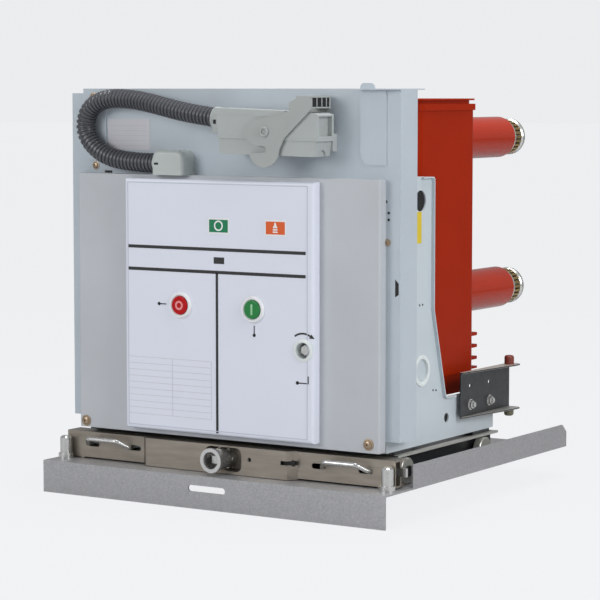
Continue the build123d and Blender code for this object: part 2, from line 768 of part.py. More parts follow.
def make_plug():
    low_y0 = PLUG_Y0 + PLUG_LOWER_INSET
    edge_y0 = PLUG_Y0 - PLUG_EDGE_OUT
    edge_y1 = PLUG_Y1 + PLUG_EDGE_OUT
    upper = outline_xz(PLUG_UPPER, PLUG_Y0, PLUG_Y1)
    upper = fillet(upper.edges().filter_by(Axis.Y), PLUG_EDGE_R)
    lower = outline_xz(PLUG_LOWER, low_y0, PLUG_Y1 - PLUG_LOWER_INSET)
    plug = upper + fillet(lower.edges().filter_by(Axis.Y), PLUG_EDGE_R)
    plug += outline_xz(PLUG_LEDGE, edge_y0, edge_y1)
    plug += outline_xz(PLUG_LID, edge_y0, edge_y1)
    end_x = PLUG_UPPER[-1][0]
    plug -= block(
        end_x - PLUG_RECESS_D,
        end_x + PLUG_RECESS_D,
        PLUG_RECESS_Y0,
        PLUG_RECESS_Y1,
        PLUG_RECESS_Z0,
        PLUG_RECESS_Z1,
    )
    middle_y = (PLUG_Y0 + PLUG_Y1) / 2
    plug -= rod_x(PLUG_ARCH_R, end_x - PLUG_ARCH_D, end_x + PLUG_ARCH_D, middle_y, PLUG_LOWER[3][1])
    for x in PLUG_FOOT_XS:
        plug += block(x, x + PLUG_FOOT_W, PLUG_Y1 - 2 * BITE, BACK_Y, PLUG_FOOT_Z0, PLUG_FOOT_Z1)
    end = Vector(*TUBE_ROUTE[-1])
    last_run = end - Vector(*TUBE_ROUTE[-2])
    inside = end + last_run * ((PLUG_NIPPLE_X - end.X) / last_run.X)
    plug += rod_between(TUBE_R, tuple(end), tuple(inside))
    pivot_end = CHEEK_GAP + CHEEK_T
    return plug + rod_y(PIVOT_R, PLUG_Y0 - pivot_end, PLUG_Y1 + pivot_end, PIVOT_X, PIVOT_Z)


def make_rear_cheek(y0):
    y1 = y0 + CHEEK_T
    cheek = outline_xz([(CAM_X, CAM_Z)] + ARM_OUTLINE, y0, y1)
    cheek += rod_y(HUB_R, y0, y1, HUB_X, HUB_Z)
    return cheek - rod_y(PIVOT_R + RUNNING, y0 - BITE, y1 + BITE, PIVOT_X, PIVOT_Z)


def make_front_cheek(y0):
    """The front cheek has a round cam with a hooked slot that opens to the left."""
    low = y0 - BITE
    high = y0 + CHEEK_T + BITE
    cam = rod_y(CAM_R, y0, y0 + CHEEK_T, CAM_X, CAM_Z)
    slot = outline_xz([(CAM_X + x, CAM_Z + z) for x, z in CAM_SLOT], low, high)
    slot += rod_y(CAM_SLOT_R, low, high, CAM_X, CAM_Z)
    pivot_hole = rod_y(PIVOT_R + RUNNING, low, high, PIVOT_X, PIVOT_Z)
    return make_rear_cheek(y0) + (cam - pivot_hole) - slot


def make_lever():
    y_front = PLUG_Y0 - CHEEK_GAP - CHEEK_T
    y_back = PLUG_Y1 + CHEEK_GAP
    bail = block(BAIL_X0, BAIL_X1, y_front, y_back + CHEEK_T, BAIL_Z0, BAIL_Z1)
    return bail + make_front_cheek(y_front) + make_rear_cheek(y_back)


def make_pole(x):
    body = block(x - POLE_HALF, x + POLE_HALF, POLE_Y0, POLE_Y1, POLE_Z0, POLE_Z1)
    body = fillet(body.edges().filter_by(Axis.Z), POLE_R)
    rim = block(
        x - POLE_HALF - RIM_OUT,
        x + POLE_HALF + RIM_OUT,
        POLE_Y0,
        POLE_Y1 + RIM_OUT,
        POLE_Z1,
        POLE_Z1 + RIM_H,
    )
    body += fillet(rim.edges().filter_by(Axis.Z), POLE_R)
    neck_z = POLE_Z1 + RIM_H
    neck = block(
        x - POLE_HALF + NECK_IN,
        x + POLE_HALF - NECK_IN,
        POLE_Y0 + NECK_IN,
        POLE_Y1 - NECK_IN,
        neck_z,
        neck_z + NECK_H,
    )
    body += fillet(neck.edges().filter_by(Axis.Z), POLE_R)
    cap_z = neck_z + NECK_H
    cap = block(
        x - POLE_HALF,
        x + POLE_HALF,
        POLE_Y0,
        POLE_Y1 + CAP_OUT,
        cap_z,
        cap_z + CAP_T,
    )
    body += fillet(cap.edges().filter_by(Axis.Z), POLE_R)
    body += block(x - FOOT_HALF, x + FOOT_HALF, FOOT_Y0, FOOT_Y1, POLE_FOOT_Z0, POLE_Z0)
    body += block(x - SHED_HALF, x + SHED_HALF, POLE_Y1 - BITE, POLE_Y1 + SHELF_D, POLE_Z0, POLE_Z0 + SHELF_T)
    for z in SHED_ZS:
        shed = block(
            x - SHED_HALF,
            x + SHED_HALF,
            POLE_Y1 - BITE,
            POLE_Y1 + SHED_D,
            z - SHED_T / 2,
            z + SHED_T / 2,
        )
        body += fillet(shed.edges().filter_by(Axis.X).group_by(Axis.Y)[-1], SHED_EDGE)
    for z in ARM_ZS:
        body += rod_y(BOSS_R, POLE_Y1 - BITE, BOSS_Y1, x, z)
    return body


def make_sleeve(x, z):
    return rod_y(SLEEVE_R, BOSS_Y1, SLEEVE_Y1, x, z)


def make_tulip(x, z):
    tulip = rod_y(TULIP_R, SLEEVE_Y1, TULIP_Y1, x, z)
    tulip = fillet(tulip.edges().group_by(Axis.Y)[-1], TULIP_CHAMFER)
    return tulip - rod_y(TULIP_BORE_R, TULIP_Y1 - TULIP_BORE_L, TULIP_Y1 + BITE, x, z)


def make_wing(side):
    web = block(WING_X, WING_X + WING_T, WING_Y0, WING_Y1, WING_Z0, WING_Z1)
    flange = [
        (WING_X, WING_Y0),
        (WING_NARROW, WING_Y0),
        (WING_OUT, WING_Y1 - 4 * WING_CORNER),
        (WING_OUT, WING_Y1 - WING_CORNER),
        (WING_OUT - WING_CORNER, WING_Y1),
        (WING_X, WING_Y1),
    ]
    wing = web + outline_xy(flange, WING_Z1 - WING_T, WING_Z1) + outline_xy(flange, WING_Z0, WING_Z0 + WING_T)
    for y in WING_BOLT_YS:
        wing += rod_x(WING_SPACER_R, CASE_HALF, WING_X, y, WING_BOLT_Z)
        wing -= rod_x(WING_HOLE_R, WING_X - WING_T, WING_OUT, y, WING_HOLE_Z)
    return wing if side > 0 else mirrored(wing)


def make_buffers(side):
    top = rod_z(BUFFER_R, WING_Z1, WING_Z1 + BUFFER_UP, BUFFER_X, BUFFER_Y)
    top = fillet(top.edges().group_by(Axis.Z)[-1], BUFFER_R / 2)
    low = rod_z(BUFFER_R, WING_Z0 - BUFFER_DOWN, WING_Z0, BUFFER_X, BUFFER_Y)
    low = fillet(low.edges().group_by(Axis.Z)[0], BUFFER_R / 2)
    pair = [top.solid(), low.solid()]
    return pair if side > 0 else [mirrored(buffer) for buffer in pair]


save("tray", make_tray())
save("crossbar", make_crossbar())
save("crossbar_cover", make_cover())
save("racking_socket", make_socket())
save("lead_screw", make_screw())
save("truck_frame", make_truck())
save("mechanism_case", make_case())
save("front_cover", make_front_cover())
save("front_panel", make_panel())
save("charging_shaft", make_charging_shaft())
save("back_plate", make_back_plate())
save("conduit_gland", make_gland())
save("conduit", make_conduit())
save("plug_housing", make_plug())
save("plug_lever", make_lever())
save("trip_button", make_button(-1))
save("close_button", make_button(1))

save("locating_pins", Compound([make_pin(side) for side in (-1, 1)]))
save("corner_brackets", Compound([mirrored(make_flap()), make_right_bracket()]))
save("wing_buffers", Compound(make_buffers(-1) + make_buffers(1)))

for name, side in (("left", -1), ("right", 1)):
    save(f"handle_{name}", make_handle(side))
    save(f"side_plate_{name}", make_side_plate(side))
    save(f"shutter_wing_{name}", make_wing(side))
    for place, y in zip(("front", "rear"), WHEEL_YS):
        save(f"wheel_{place}_{name}", make_wheel(side, y))

for name, x in (("left", -PITCH), ("middle", 0.0), ("right", PITCH)):
    save(f"pole_{name}", make_pole(x))
    for level, z in zip(("lower", "upper"), ARM_ZS):
        save(f"sleeve_{level}_{name}", make_sleeve(x, z))
        save(f"tulip_{level}_{name}", make_tulip(x, z))
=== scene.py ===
# %% [markdown]
# This lesson dresses an indoor high-voltage circuit breaker that rolls on a tray.
# Its metalwork, poles and contacts are solids already. They could be modelled again here,
# but the solids have their true sizes, so the lesson paints them and adds the small pieces that they lack.

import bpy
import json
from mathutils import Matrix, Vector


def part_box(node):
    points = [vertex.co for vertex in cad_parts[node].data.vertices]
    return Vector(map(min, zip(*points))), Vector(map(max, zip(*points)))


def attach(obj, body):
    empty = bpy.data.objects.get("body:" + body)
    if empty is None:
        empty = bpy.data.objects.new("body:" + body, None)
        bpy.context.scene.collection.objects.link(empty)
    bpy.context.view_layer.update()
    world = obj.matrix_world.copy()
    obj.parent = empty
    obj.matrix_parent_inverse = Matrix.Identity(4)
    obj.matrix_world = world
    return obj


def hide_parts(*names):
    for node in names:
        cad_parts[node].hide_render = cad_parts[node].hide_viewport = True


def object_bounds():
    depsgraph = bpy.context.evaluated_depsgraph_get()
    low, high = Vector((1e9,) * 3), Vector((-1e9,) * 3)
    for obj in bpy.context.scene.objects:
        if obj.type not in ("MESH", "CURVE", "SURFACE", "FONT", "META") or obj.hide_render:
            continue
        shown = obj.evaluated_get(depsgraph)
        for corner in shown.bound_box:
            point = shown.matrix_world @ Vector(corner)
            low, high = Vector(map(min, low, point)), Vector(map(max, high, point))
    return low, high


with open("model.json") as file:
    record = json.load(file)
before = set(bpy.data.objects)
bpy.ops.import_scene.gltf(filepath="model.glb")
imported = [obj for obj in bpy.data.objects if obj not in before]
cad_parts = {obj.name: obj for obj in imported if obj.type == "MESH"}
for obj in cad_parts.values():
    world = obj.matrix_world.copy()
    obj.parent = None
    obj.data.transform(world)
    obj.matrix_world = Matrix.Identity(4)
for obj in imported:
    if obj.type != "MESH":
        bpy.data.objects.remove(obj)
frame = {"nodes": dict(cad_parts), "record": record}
cad_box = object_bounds()
print("solids from", cad_box[0], "to", cad_box[1])

# %% Modules
import json
import math

import bmesh
import bpy
from mathutils import Matrix, Vector

print("Blender", bpy.app.version_string)

# %% [markdown]
# A maker measures a breaker in millimetres from its tray, and Blender works in metres.
# Every number could be turned by hand, but one function does it in one place: at() takes millimetres
# from the tray's front flange and top face. Where a new piece sits on a solid's outer face,
# the solid's own box gives that face.

# %% Where things are
MM = 0.001
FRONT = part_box("tray")[0].y
TRAY_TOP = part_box("locating_pins")[0].z


def at(x, y, z):
    """A place in the solid model's own frame, in metres."""
    return Vector((x * MM, FRONT + y * MM, TRAY_TOP + z * MM))


def corners(node):
    """A solid's lowest and highest corners, in at()'s millimetres, to a tenth."""
    offsets = [(corner - at(0, 0, 0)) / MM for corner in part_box(node)]
    return [Vector([round(length, 1) for length in offset]) for offset in offsets]


def middle(node):
    low, high = corners(node)
    return (low + high) / 2


print("tray front", round(FRONT, 4), "tray top", round(TRAY_TOP, 4))

# %% [markdown]
# The camera stands low and to the right of the front, a long way off, with a long lens.
# A near camera with a wide lens could show the same sides. The long one was chosen,
# because it keeps the cabinet's upright edges nearly parallel, as they look in the photograph.

# %% Camera
CAMERA_PLACE = (2242.4, -3234.1, 648.0)
CAMERA_HEADING = math.radians(32.45)
CAMERA_DIP = math.radians(5.09)
LENS = 142.4
SENSOR = 36.0
SIGHT = 50


def add_camera():
    data = bpy.data.cameras.new("camera")
    data.lens = LENS
    data.sensor_width = SENSOR
    data.clip_end = SIGHT
    camera = bpy.data.objects.new("camera", data)
    bpy.context.scene.collection.objects.link(camera)
    camera.location = at(*CAMERA_PLACE)
    camera.rotation_euler = (math.pi / 2 - CAMERA_DIP, 0, CAMERA_HEADING)
    bpy.context.scene.camera = camera
    return camera


print("camera at", add_camera().location)

# %% [markdown]
# Most small parts of a breaker are blocks, sheets cut to an outline, or turned parts.
# A mesh could be typed in as lists of vertices and faces,
# but bmesh operators make the same shapes from a few sizes. Each helper makes its shape apart
# and joins it to the piece, so that one piece can have many shapes.

# %% Join and soften
WELD = 1e-6


def join(bm, part, matrix=Matrix.Identity(4)):
    part.transform(matrix)
    mesh = bpy.data.meshes.new("part")
    part.to_mesh(mesh)
    part.free()
    bm.from_mesh(mesh)
    bpy.data.meshes.remove(mesh)


def soften(part, edges, width, segments=2):
    bmesh.ops.bevel(
        part, geom=edges, offset=width * MM, affect="EDGES", segments=segments, profile=0.5, material=-1
    )


def try_shape(add, *sizes):
    """Make one shape on its own and say how many faces it has."""
    trial = bmesh.new()
    add(trial, *sizes)
    print(add.__name__, "makes", len(trial.faces), "faces")
    trial.free()


print("vertices within", WELD, "m are welded")

# %% Blocks and slabs


def add_block(bm, low, high, bevel=0.0, segments=2):
    """A block between two corners in millimetres."""
    part = bmesh.new()
    a, b = at(*low), at(*high)
    size = Matrix.Diagonal((*(b - a), 1))
    bmesh.ops.create_cube(part, size=1.0, matrix=Matrix.Translation((a + b) / 2) @ size)
    if bevel:
        soften(part, part.edges[:], bevel, segments)
    join(bm, part)


def add_slab(bm, outline, depth):
    """A flat outline of points in millimetres, pulled out by depth."""
    part = bmesh.new()
    face = part.faces.new([part.verts.new(at(*place)) for place in outline])
    made = bmesh.ops.extrude_face_region(part, geom=[face])
    moved = [v for v in made["geom"] if isinstance(v, bmesh.types.BMVert)]
    bmesh.ops.translate(part, verts=moved, vec=Vector(depth) * MM)
    join(bm, part)


try_shape(add_block, (0, 0, 0), (30, 20, 10), 1)
try_shape(add_slab, [(0, 0, 0), (30, 0, 0), (0, 0, 20)], (0, 5, 0))

# %% Turned shapes


def facing(centre, axis):
    """The matrix that stands a shape made along +Z at a place, pointing along axis."""
    turn = Vector((0, 0, 1)).rotation_difference(Vector(axis))
    return Matrix.Translation(at(*centre)) @ turn.to_matrix().to_4x4()


def add_turned(bm, profile, centre, axis, steps=40):
    """A turned shape: a profile of (radius, height) in millimetres, spun about axis."""
    part = bmesh.new()
    verts = [part.verts.new((r * MM, 0, h * MM)) for r, h in profile]
    for a, b in zip(verts, verts[1:]):
        part.edges.new((a, b))
    bmesh.ops.spin(
        part,
        geom=part.verts[:] + part.edges[:],
        axis=(0, 0, 1),
        cent=(0, 0, 0),
        angle=math.tau,
        steps=steps,
        use_merge=True,
    )
    bmesh.ops.remove_doubles(part, verts=part.verts, dist=WELD)
    join(bm, part, facing(centre, axis))


def add_ring(bm, inner, outer, height, centre, axis, steps=40):
    profile = [(inner, 0), (outer, 0), (outer, height), (inner, height), (inner, 0)]
    add_turned(bm, profile, centre, axis, steps)


def add_disc(bm, radius, height, centre, axis, steps=40):
    add_turned(bm, [(0, 0), (radius, 0), (radius, height), (0, height)], centre, axis, steps)


try_shape(add_ring, 10, 12, 3, (0, 0, 0), (0, -1, 0))
try_shape(add_disc, 12, 3, (0, 0, 0), (0, -1, 0))

# %% [markdown]
# A finish is what covers the metal or plastic: paint, plating or the moulded skin itself.
# It starts from a colour, a roughness and how metallic it is. Images could add the wear,
# but noise was chosen, because it stays sharp at any distance and needs no unwrapping.

# %% Colours and a plain finish


def tone(red, green, blue):
    """A colour from 0 to 255 values, as the linear colour that shaders use."""
    return tuple(((c / 255 + 0.055) / 1.055) ** 2.4 if c > 10 else c / 3294.6 for c in (red, green, blue))


def start_finish(name, colour, roughness, metallic=0.0):
    material = bpy.data.materials.new(name)
    material.use_nodes = True
    shader = material.node_tree.nodes["Principled BSDF"]
    shader.inputs["Base Color"].default_value = (*colour, 1)
    shader.inputs["Roughness"].default_value = roughness
    shader.inputs["Metallic"].default_value = metallic
    return material


print("a middle grey is", tone(128, 128, 128))

# %% Patterns


def noise(material, scale, detail=2.0, stretch=(1, 1, 1)):
    nodes, links = material.node_tree.nodes, material.node_tree.links
    place = nodes.new("ShaderNodeTexCoord")
    mapping = nodes.new("ShaderNodeMapping")
    mapping.inputs["Scale"].default_value = stretch
    texture = nodes.new("ShaderNodeTexNoise")
    texture.inputs["Scale"].default_value = scale
    texture.inputs["Detail"].default_value = detail
    links.new(place.outputs["Object"], mapping.inputs["Vector"])
    links.new(mapping.outputs["Vector"], texture.inputs["Vector"])
    return texture.outputs["Fac"]


def spread(material, value, old, new):
    """Stretch a value from the old range to the new one."""
    node = material.node_tree.nodes.new("ShaderNodeMapRange")
    node.inputs["From Min"].default_value, node.inputs["From Max"].default_value = old
    node.inputs["To Min"].default_value, node.inputs["To Max"].default_value = new
    material.node_tree.links.new(value, node.inputs["Value"])
    return node.outputs["Result"]


def blend_colours(material, amount, first, second):
    """Mix two colours, each a plain colour or another node's output."""
    nodes, links = material.node_tree.nodes, material.node_tree.links
    mix = nodes.new("ShaderNodeMix")
    mix.data_type = "RGBA"
    links.new(amount, mix.inputs[0])
    for socket, colour in ((mix.inputs[6], first), (mix.inputs[7], second)):
        if isinstance(colour, tuple):
            socket.default_value = (*colour, 1)
        else:
            links.new(colour, socket)
    return mix.outputs[2]


# %% Drive the shader


def set_input(material, name, value):
    shader = material.node_tree.nodes["Principled BSDF"]
    material.node_tree.links.new(value, shader.inputs[name])


def mottle(material, amount, colour, share):
    """Let the colour drift towards a darker share of itself."""
    darker = tuple(c * share for c in colour)
    set_input(material, "Base Color", blend_colours(material, amount, colour, darker))


def vary_gloss(material, value, roughness, less, more):
    """Let the roughness drift a little below and above its value."""
    drift = spread(material, value, (0.3, 0.7), (roughness - less, roughness + more))
    set_input(material, "Roughness", drift)


def relief(material, value, strength, distance):
    """A bump of a distance in millimetres."""
    bump = material.node_tree.nodes.new("ShaderNodeBump")
    bump.inputs["Strength"].default_value = strength
    bump.inputs["Distance"].default_value = distance * MM
    material.node_tree.links.new(value, bump.inputs["Height"])
    set_input(material, "Normal", bump.outputs["Normal"])


# %% [markdown]
# The whole breaker is covered in three ways: sprayed paint, plated or rolled steel, and moulded plastic.
# Each could be set up by hand for every colour. One function for each way was chosen,
# so that all the paints age alike, and so do all the metals and all the plastics.

# %% Paint, plate and plastic
DUST_SCALE = 7
PAINT_GLOSS_SCALE = 30
PEEL_SCALE = 900
MOULD_CLOUD_SCALE = 12
MOULD_TINT = 0.93


def painted(name, colour, roughness, dirt=0.94, peel=0.1):
    """Sprayed paint: an even colour, a faint cloud of dust, and orange peel."""
    material = start_finish(name, colour, roughness)
    dust = spread(material, noise(material, DUST_SCALE, 4), (0.35, 0.65), (0, 1))
    mottle(material, dust, colour, dirt)
    vary_gloss(material, noise(material, PAINT_GLOSS_SCALE), roughness, 0.02, 0.03)
    relief(material, noise(material, PEEL_SCALE), peel, 0.1)
    return material


def plated(name, colour, roughness, stretch=(1, 1, 1), tint=0.8, scale=45, metallic=0.85):
    """Plated or rolled steel: a metal with faint clouds, which stretch draws out into streaks."""
    material = start_finish(name, colour, roughness, metallic)
    streaks = spread(material, noise(material, scale, 5, stretch), (0.35, 0.68), (0, 1))
    mottle(material, streaks, colour, tint)
    vary_gloss(material, noise(material, scale * 2, 3, stretch), roughness, 0.03, 0.05)
    relief(material, noise(material, scale * 4, 2, stretch), 0.08, 0.05)
    return material


def moulded(name, colour, roughness, grain=0.1, scale=700, shine=0.5):
    """Moulded plastic or resin with a fine grain. Shine is how much light it mirrors."""
    material = start_finish(name, colour, roughness)
    material.node_tree.nodes["Principled BSDF"].inputs["Specular IOR Level"].default_value = shine
    cloud = spread(material, noise(material, MOULD_CLOUD_SCALE, 3), (0.3, 0.7), (0, 1))
    mottle(material, cloud, colour, MOULD_TINT)
    relief(material, noise(material, scale), grain, 0.12)
    return material


print("orange peel of about", round(1000 / PEEL_SCALE, 1), "mm")

# %% [markdown]
# The tray is galvanised, and its zinc has set in a spangle of grey crystals.
# More noise could give soft spots, but crystals have straight edges, so Voronoi cells were chosen.

# %% Galvanised sheet
CRYSTAL_SCALE = 480
CRYSTAL_SHARE = 0.35


def make_zinc():
    material = plated("galvanised_sheet", tone(181, 181, 183), 0.5, tint=0.97, scale=60, metallic=0.6)
    nodes, links = material.node_tree.nodes, material.node_tree.links
    place = nodes.new("ShaderNodeTexCoord")
    cells = nodes.new("ShaderNodeTexVoronoi")
    cells.inputs["Scale"].default_value = CRYSTAL_SCALE
    links.new(place.outputs["Object"], cells.inputs["Vector"])
    grey = nodes.new("ShaderNodeSeparateColor")
    links.new(cells.outputs["Color"], grey.inputs["Color"])
    crystal = spread(material, grey.outputs["Red"], (0, 1), (0, CRYSTAL_SHARE))
    sheet = nodes["Principled BSDF"].inputs["Base Color"].links[0].from_socket
    set_input(material, "Base Color", blend_colours(material, crystal, sheet, tone(118, 119, 122)))
    return material


finishes = {"galvanised_sheet": make_zinc()}
print("crystals of about", round(1000 / CRYSTAL_SCALE, 1), "mm")

# %% [markdown]
# Each shutter wing has rubber buffers, red-brown ones above and olive ones below.
# They are one solid, so two materials would need its faces sorted.
# Instead one material changes its colour at a height between the two.

# %% Buffer rubber
BUFFER_RED = tone(120, 52, 40)
BUFFER_OLIVE = tone(108, 104, 84)
BUFFER_CHANGE = at(0, 0, 124).z


def make_buffer_rubber():
    material = moulded("buffer_rubber", BUFFER_RED, 0.45)
    nodes, links = material.node_tree.nodes, material.node_tree.links
    place = nodes.new("ShaderNodeTexCoord")
    split = nodes.new("ShaderNodeSeparateXYZ")
    links.new(place.outputs["Object"], split.inputs["Vector"])
    upper = spread(material, split.outputs["Z"], (BUFFER_CHANGE - MM, BUFFER_CHANGE + MM), (0, 1))
    set_input(material, "Base Color", blend_colours(material, upper, BUFFER_OLIVE, BUFFER_RED))
    return material


finishes["buffer_rubber"] = make_buffer_rubber()
print("the buffers change colour at", round(BUFFER_CHANGE, 4), "m")

# %% [markdown]
# The other finishes are named for what they cover. Their colours could be mixed by eye on each piece,
# but one list for metals, one for paints and one for plastics keeps like things alike.

# %% Metals
for name, colour, roughness, more in (
    ("bright_steel", (208, 208, 206), 0.24, {"tint": 0.95}),
    ("plated_steel", (160, 152, 141), 0.36, {"stretch": (0.3, 2, 2), "metallic": 0.8}),
    ("zinc_steel", (84, 86, 88), 0.34, {"tint": 0.85, "scale": 80}),
    ("silver_plate", (222, 222, 218), 0.24, {"tint": 0.95}),
    ("bronze", (176, 150, 96), 0.32, {}),
    ("screw_zinc", (178, 158, 134), 0.34, {"tint": 0.85, "scale": 160}),
    ("flange_pale", (206, 205, 198), 0.32, {"tint": 0.95, "metallic": 0.6}),
):
    finishes[name] = plated(name, tone(*colour), roughness, **more)
print(len(finishes), "finishes with the metals")

# %% Paints
for name, colour, roughness, more in (
    ("plate_grey", (196, 206, 212), 0.4, {}),
    ("cover_grey", (190, 194, 199), 0.42, {}),
    ("panel_white", (224, 228, 240), 0.3, {"dirt": 0.99, "peel": 0.04}),
    ("lever_grey", (164, 169, 167), 0.42, {}),
    # A darker copy of the plate grey: painted shade for the shade under the plug on the back plate.
    ("back_shade_grey", (185, 195, 203), 0.4, {}),
):
    finishes[name] = painted(name, tone(*colour), roughness, **more)
print(len(finishes), "finishes with the paints")

# %% Plastics and resin
for name, colour, roughness, more in (
    ("gland_grey", (186, 193, 190), 0.35, {}),
    ("conduit_grey", (78, 79, 84), 0.34, {}),
    ("plug_grey", (172, 177, 176), 0.45, {"grain": 0.2, "scale": 420}),
    ("button_red", (186, 18, 24), 0.25, {"shine": 0.2}),
    ("button_green", (18, 128, 58), 0.25, {}),
    ("epoxy_red", (158, 38, 8), 0.3, {"grain": 0.03, "scale": 260, "shine": 0.06}),
    ("epoxy_gloss", (170, 42, 10), 0.12, {"grain": 0.01, "scale": 260, "shine": 0.34}),
    ("ink", (28, 28, 30), 0.5, {}),
    ("white_mark", (240, 242, 242), 0.4, {}),
    ("window_green", (36, 128, 88), 0.35, {"shine": 0.2}),
    ("window_orange", (226, 100, 50), 0.35, {"shine": 0.2}),
    ("label_yellow", (222, 196, 48), 0.45, {}),
    ("label_paper", (202, 202, 208), 0.5, {}),
    ("shadow_black", (22, 22, 23), 0.7, {}),
    ("grommet_white", (226, 232, 232), 0.4, {}),
    ("ring_white", (238, 240, 242), 0.35, {}),
    ("mark_pink", (238, 150, 152), 0.35, {}),
    ("mark_green", (150, 208, 158), 0.35, {}),
    # A grey darker than the panel white: painted shade along the edge of the panel's overlay sheet.
    ("edge_shade_grey", (196, 201, 214), 0.4, {}),
):
    finishes[name] = moulded(name, tone(*colour), roughness, **more)
print(len(finishes), "finishes in all")

# %% [markdown]
# The solids are the sheet metal, the poles and the mechanism, and their shapes are right already.
# They could be replaced piece by piece, but only their material has to change,
# and the record names each one's slot. The arms are glossier than the poles,
# the back plate takes a darker copy of the plate grey as painted shade,
# and the wheels are bright, so those few take a finish of their own.

# %% Paint the solids
OWN_FINISH = {
    "sleeve": "epoxy_gloss",
    "back_plate": "back_shade_grey",
    "corner": "back_shade_grey",
    "wheel": "flange_pale",
}


def paint(part):
    node = frame["nodes"][part["node"]]
    own = [finish for start, finish in OWN_FINISH.items() if part["node"].startswith(start)]
    material = finishes[own[0] if own else part["material_slot"]]
    node.data.materials.clear()
    node.data.materials.append(material)


for part in frame["record"]["subparts"]:
    paint(part)

# %% [markdown]
# A new piece is closed the same way each time: welded, turned outwards, shaded smooth up to a sharp angle,
# painted, and tied to the body that carries it. A modifier could do the shading,
# but marking the sharp edges in the mesh keeps every piece a plain mesh.

# %% Close a piece


def close_piece(bm, name, material, body="truck", angle=35):
    """Make a piece of what is in bm, in the finish named by material."""
    bmesh.ops.remove_doubles(bm, verts=bm.verts, dist=WELD)
    bmesh.ops.recalc_face_normals(bm, faces=bm.faces)
    mesh = bpy.data.meshes.new(name)
    bm.to_mesh(mesh)
    bm.free()
    mesh.shade_smooth()
    mesh.set_sharp_from_angle(angle=math.radians(angle))
    mesh.materials.append(finishes[material])
    piece = bpy.data.objects.new(name, mesh)
    bpy.context.scene.collection.objects.link(piece)
    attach(piece, body)
    print(name, len(mesh.polygons), "faces")
    return piece


# %% [markdown]
# The conduit is one fixed length of ribbed hose, held in the gland at one end and in the plug at the other.
# A bevelled curve could give a plain tube. The ribs need a changing radius,
# so rings are extruded one after another along a smooth NURBS line through the solid's route points.

# %% Conduit's line
CONDUIT_ROUTE = [
    (-137.0, 54.0, 522.0),
    (-194.0, 54.0, 522.0),
    (-254.0, 54.0, 534.0),
    (-291.0, 53.5, 568.0),
    (-286.0, 53.0, 609.0),
    (-250.0, 53.0, 631.0),
    (-190.0, 51.0, 631.0),
    (-130.0, 44.0, 621.0),
    (-66.0, 38.5, 607.5),
    (-4.0, 36.5, 600.0),
]


def conduit_line():
    """The points of the conduit's centreline, read from a NURBS curve."""
    curve = bpy.data.curves.new("conduit_line", "CURVE")
    curve.dimensions = "3D"
    curve.resolution_u = 24
    spline = curve.splines.new("NURBS")
    spline.points.add(len(CONDUIT_ROUTE) - 1)
    for point, place in zip(spline.points, CONDUIT_ROUTE):
        point.co = (*at(*place), 1)
    spline.order_u = 3
    spline.use_endpoint_u = True
    holder = bpy.data.objects.new("conduit_line", curve)
    mesh = bpy.data.meshes.new_from_object(holder)
    points = [v.co.copy() for v in mesh.vertices]
    bpy.data.objects.remove(holder)
    bpy.data.meshes.remove(mesh)
    return points


conduit_path = conduit_line()
conduit_length = sum((b - a).length for a, b in zip(conduit_path, conduit_path[1:]))
print("conduit", round(conduit_length, 4), "m")

# %% Conduit's ribs
RIB_PITCH = 7.6
RIB_CREST = 16.4
RIB_VALLEY = 14.0
RIB_STEPS = ((0.0, 0.0), (0.18, 0.0), (0.34, 1.0), (0.72, 1.0), (0.88, 0.0))
HOSE_SIDES = 28


def walk(points, distance):
    """The place and direction at a distance along a line of points."""
    for a, b in zip(points, points[1:]):
        step = (b - a).length
        if distance <= step:
            return a.lerp(b, distance / step), (b - a).normalized()
        distance -= step
    return points[-1].copy(), (points[-1] - points[-2]).normalized()


def ring_matrix(distance, height):
    """Where the hose's ring stands at a distance, from the valley at height 0 to the crest at 1."""
    place, heading = walk(conduit_path, distance)
    radius = (RIB_VALLEY + height * (RIB_CREST - RIB_VALLEY)) * MM
    side = heading.cross(Vector((0, 1, 0))).normalized()
    turn = Matrix((side, side.cross(heading), heading)).transposed().to_4x4()
    return Matrix.Translation(place) @ turn @ Matrix.Diagonal((radius, radius, 1, 1))


def rib_stations():
    """The distance and height of each ring, and the last ring at the hose's end."""
    ribs = round(conduit_length / (RIB_PITCH * MM))
    pitch = conduit_length / ribs
    stations = [((rib + share) * pitch, height) for rib in range(ribs) for share, height in RIB_STEPS]
    return stations + [(conduit_length, 0.0)]


print(len(rib_stations()), "rings")

# %% Draw the hose


def make_conduit():
    bm = bmesh.new()
    rings = [ring_matrix(distance, height) for distance, height in rib_stations()]
    bmesh.ops.create_circle(bm, segments=HOSE_SIDES, radius=1.0, cap_ends=False, matrix=rings[0])
    edges = bm.edges[:]
    bmesh.ops.contextual_create(bm, geom=edges)
    for before, ring in zip(rings, rings[1:]):
        made = bmesh.ops.extrude_edge_only(bm, edges=edges)["geom"]
        verts = [v for v in made if isinstance(v, bmesh.types.BMVert)]
        edges = [e for e in made if isinstance(e, bmesh.types.BMEdge)]
        bmesh.ops.transform(bm, matrix=ring @ before.inverted(), verts=verts)
    bmesh.ops.contextual_create(bm, geom=edges)
    hose = close_piece(bm, "ribbed_conduit", "conduit_grey", angle=60)
    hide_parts("conduit")
    return hose


conduit = make_conduit()

# %% [markdown]
# The plug is a heavy cast shell with a bail lever over it, and its neck clamps the conduit.
# The shell and the lever are solids already. The collar, the latch and the bolt could be solids too,
# but they are small fittings that carry nothing, so they are turned and cut here.

# %% Plug clamp
lever_low, lever_high = corners("plug_lever")
CHEEK = 5.0
PLUG_FRONT = lever_low.y + CHEEK
PLUG_BACK = lever_high.y - CHEEK
COLLAR = [(0, 0), (16, 0), (18.6, 1.5), (18.6, 9), (17, 11), (17, 20), (0, 20)]
LATCH_FRONT = PLUG_FRONT + 1
LATCH_X = (7, 21)
LATCH_Z = (574, 612)
LATCH_SLOT_X = (9.5, 15)
LATCH_SLOT_Z = (590, 597)


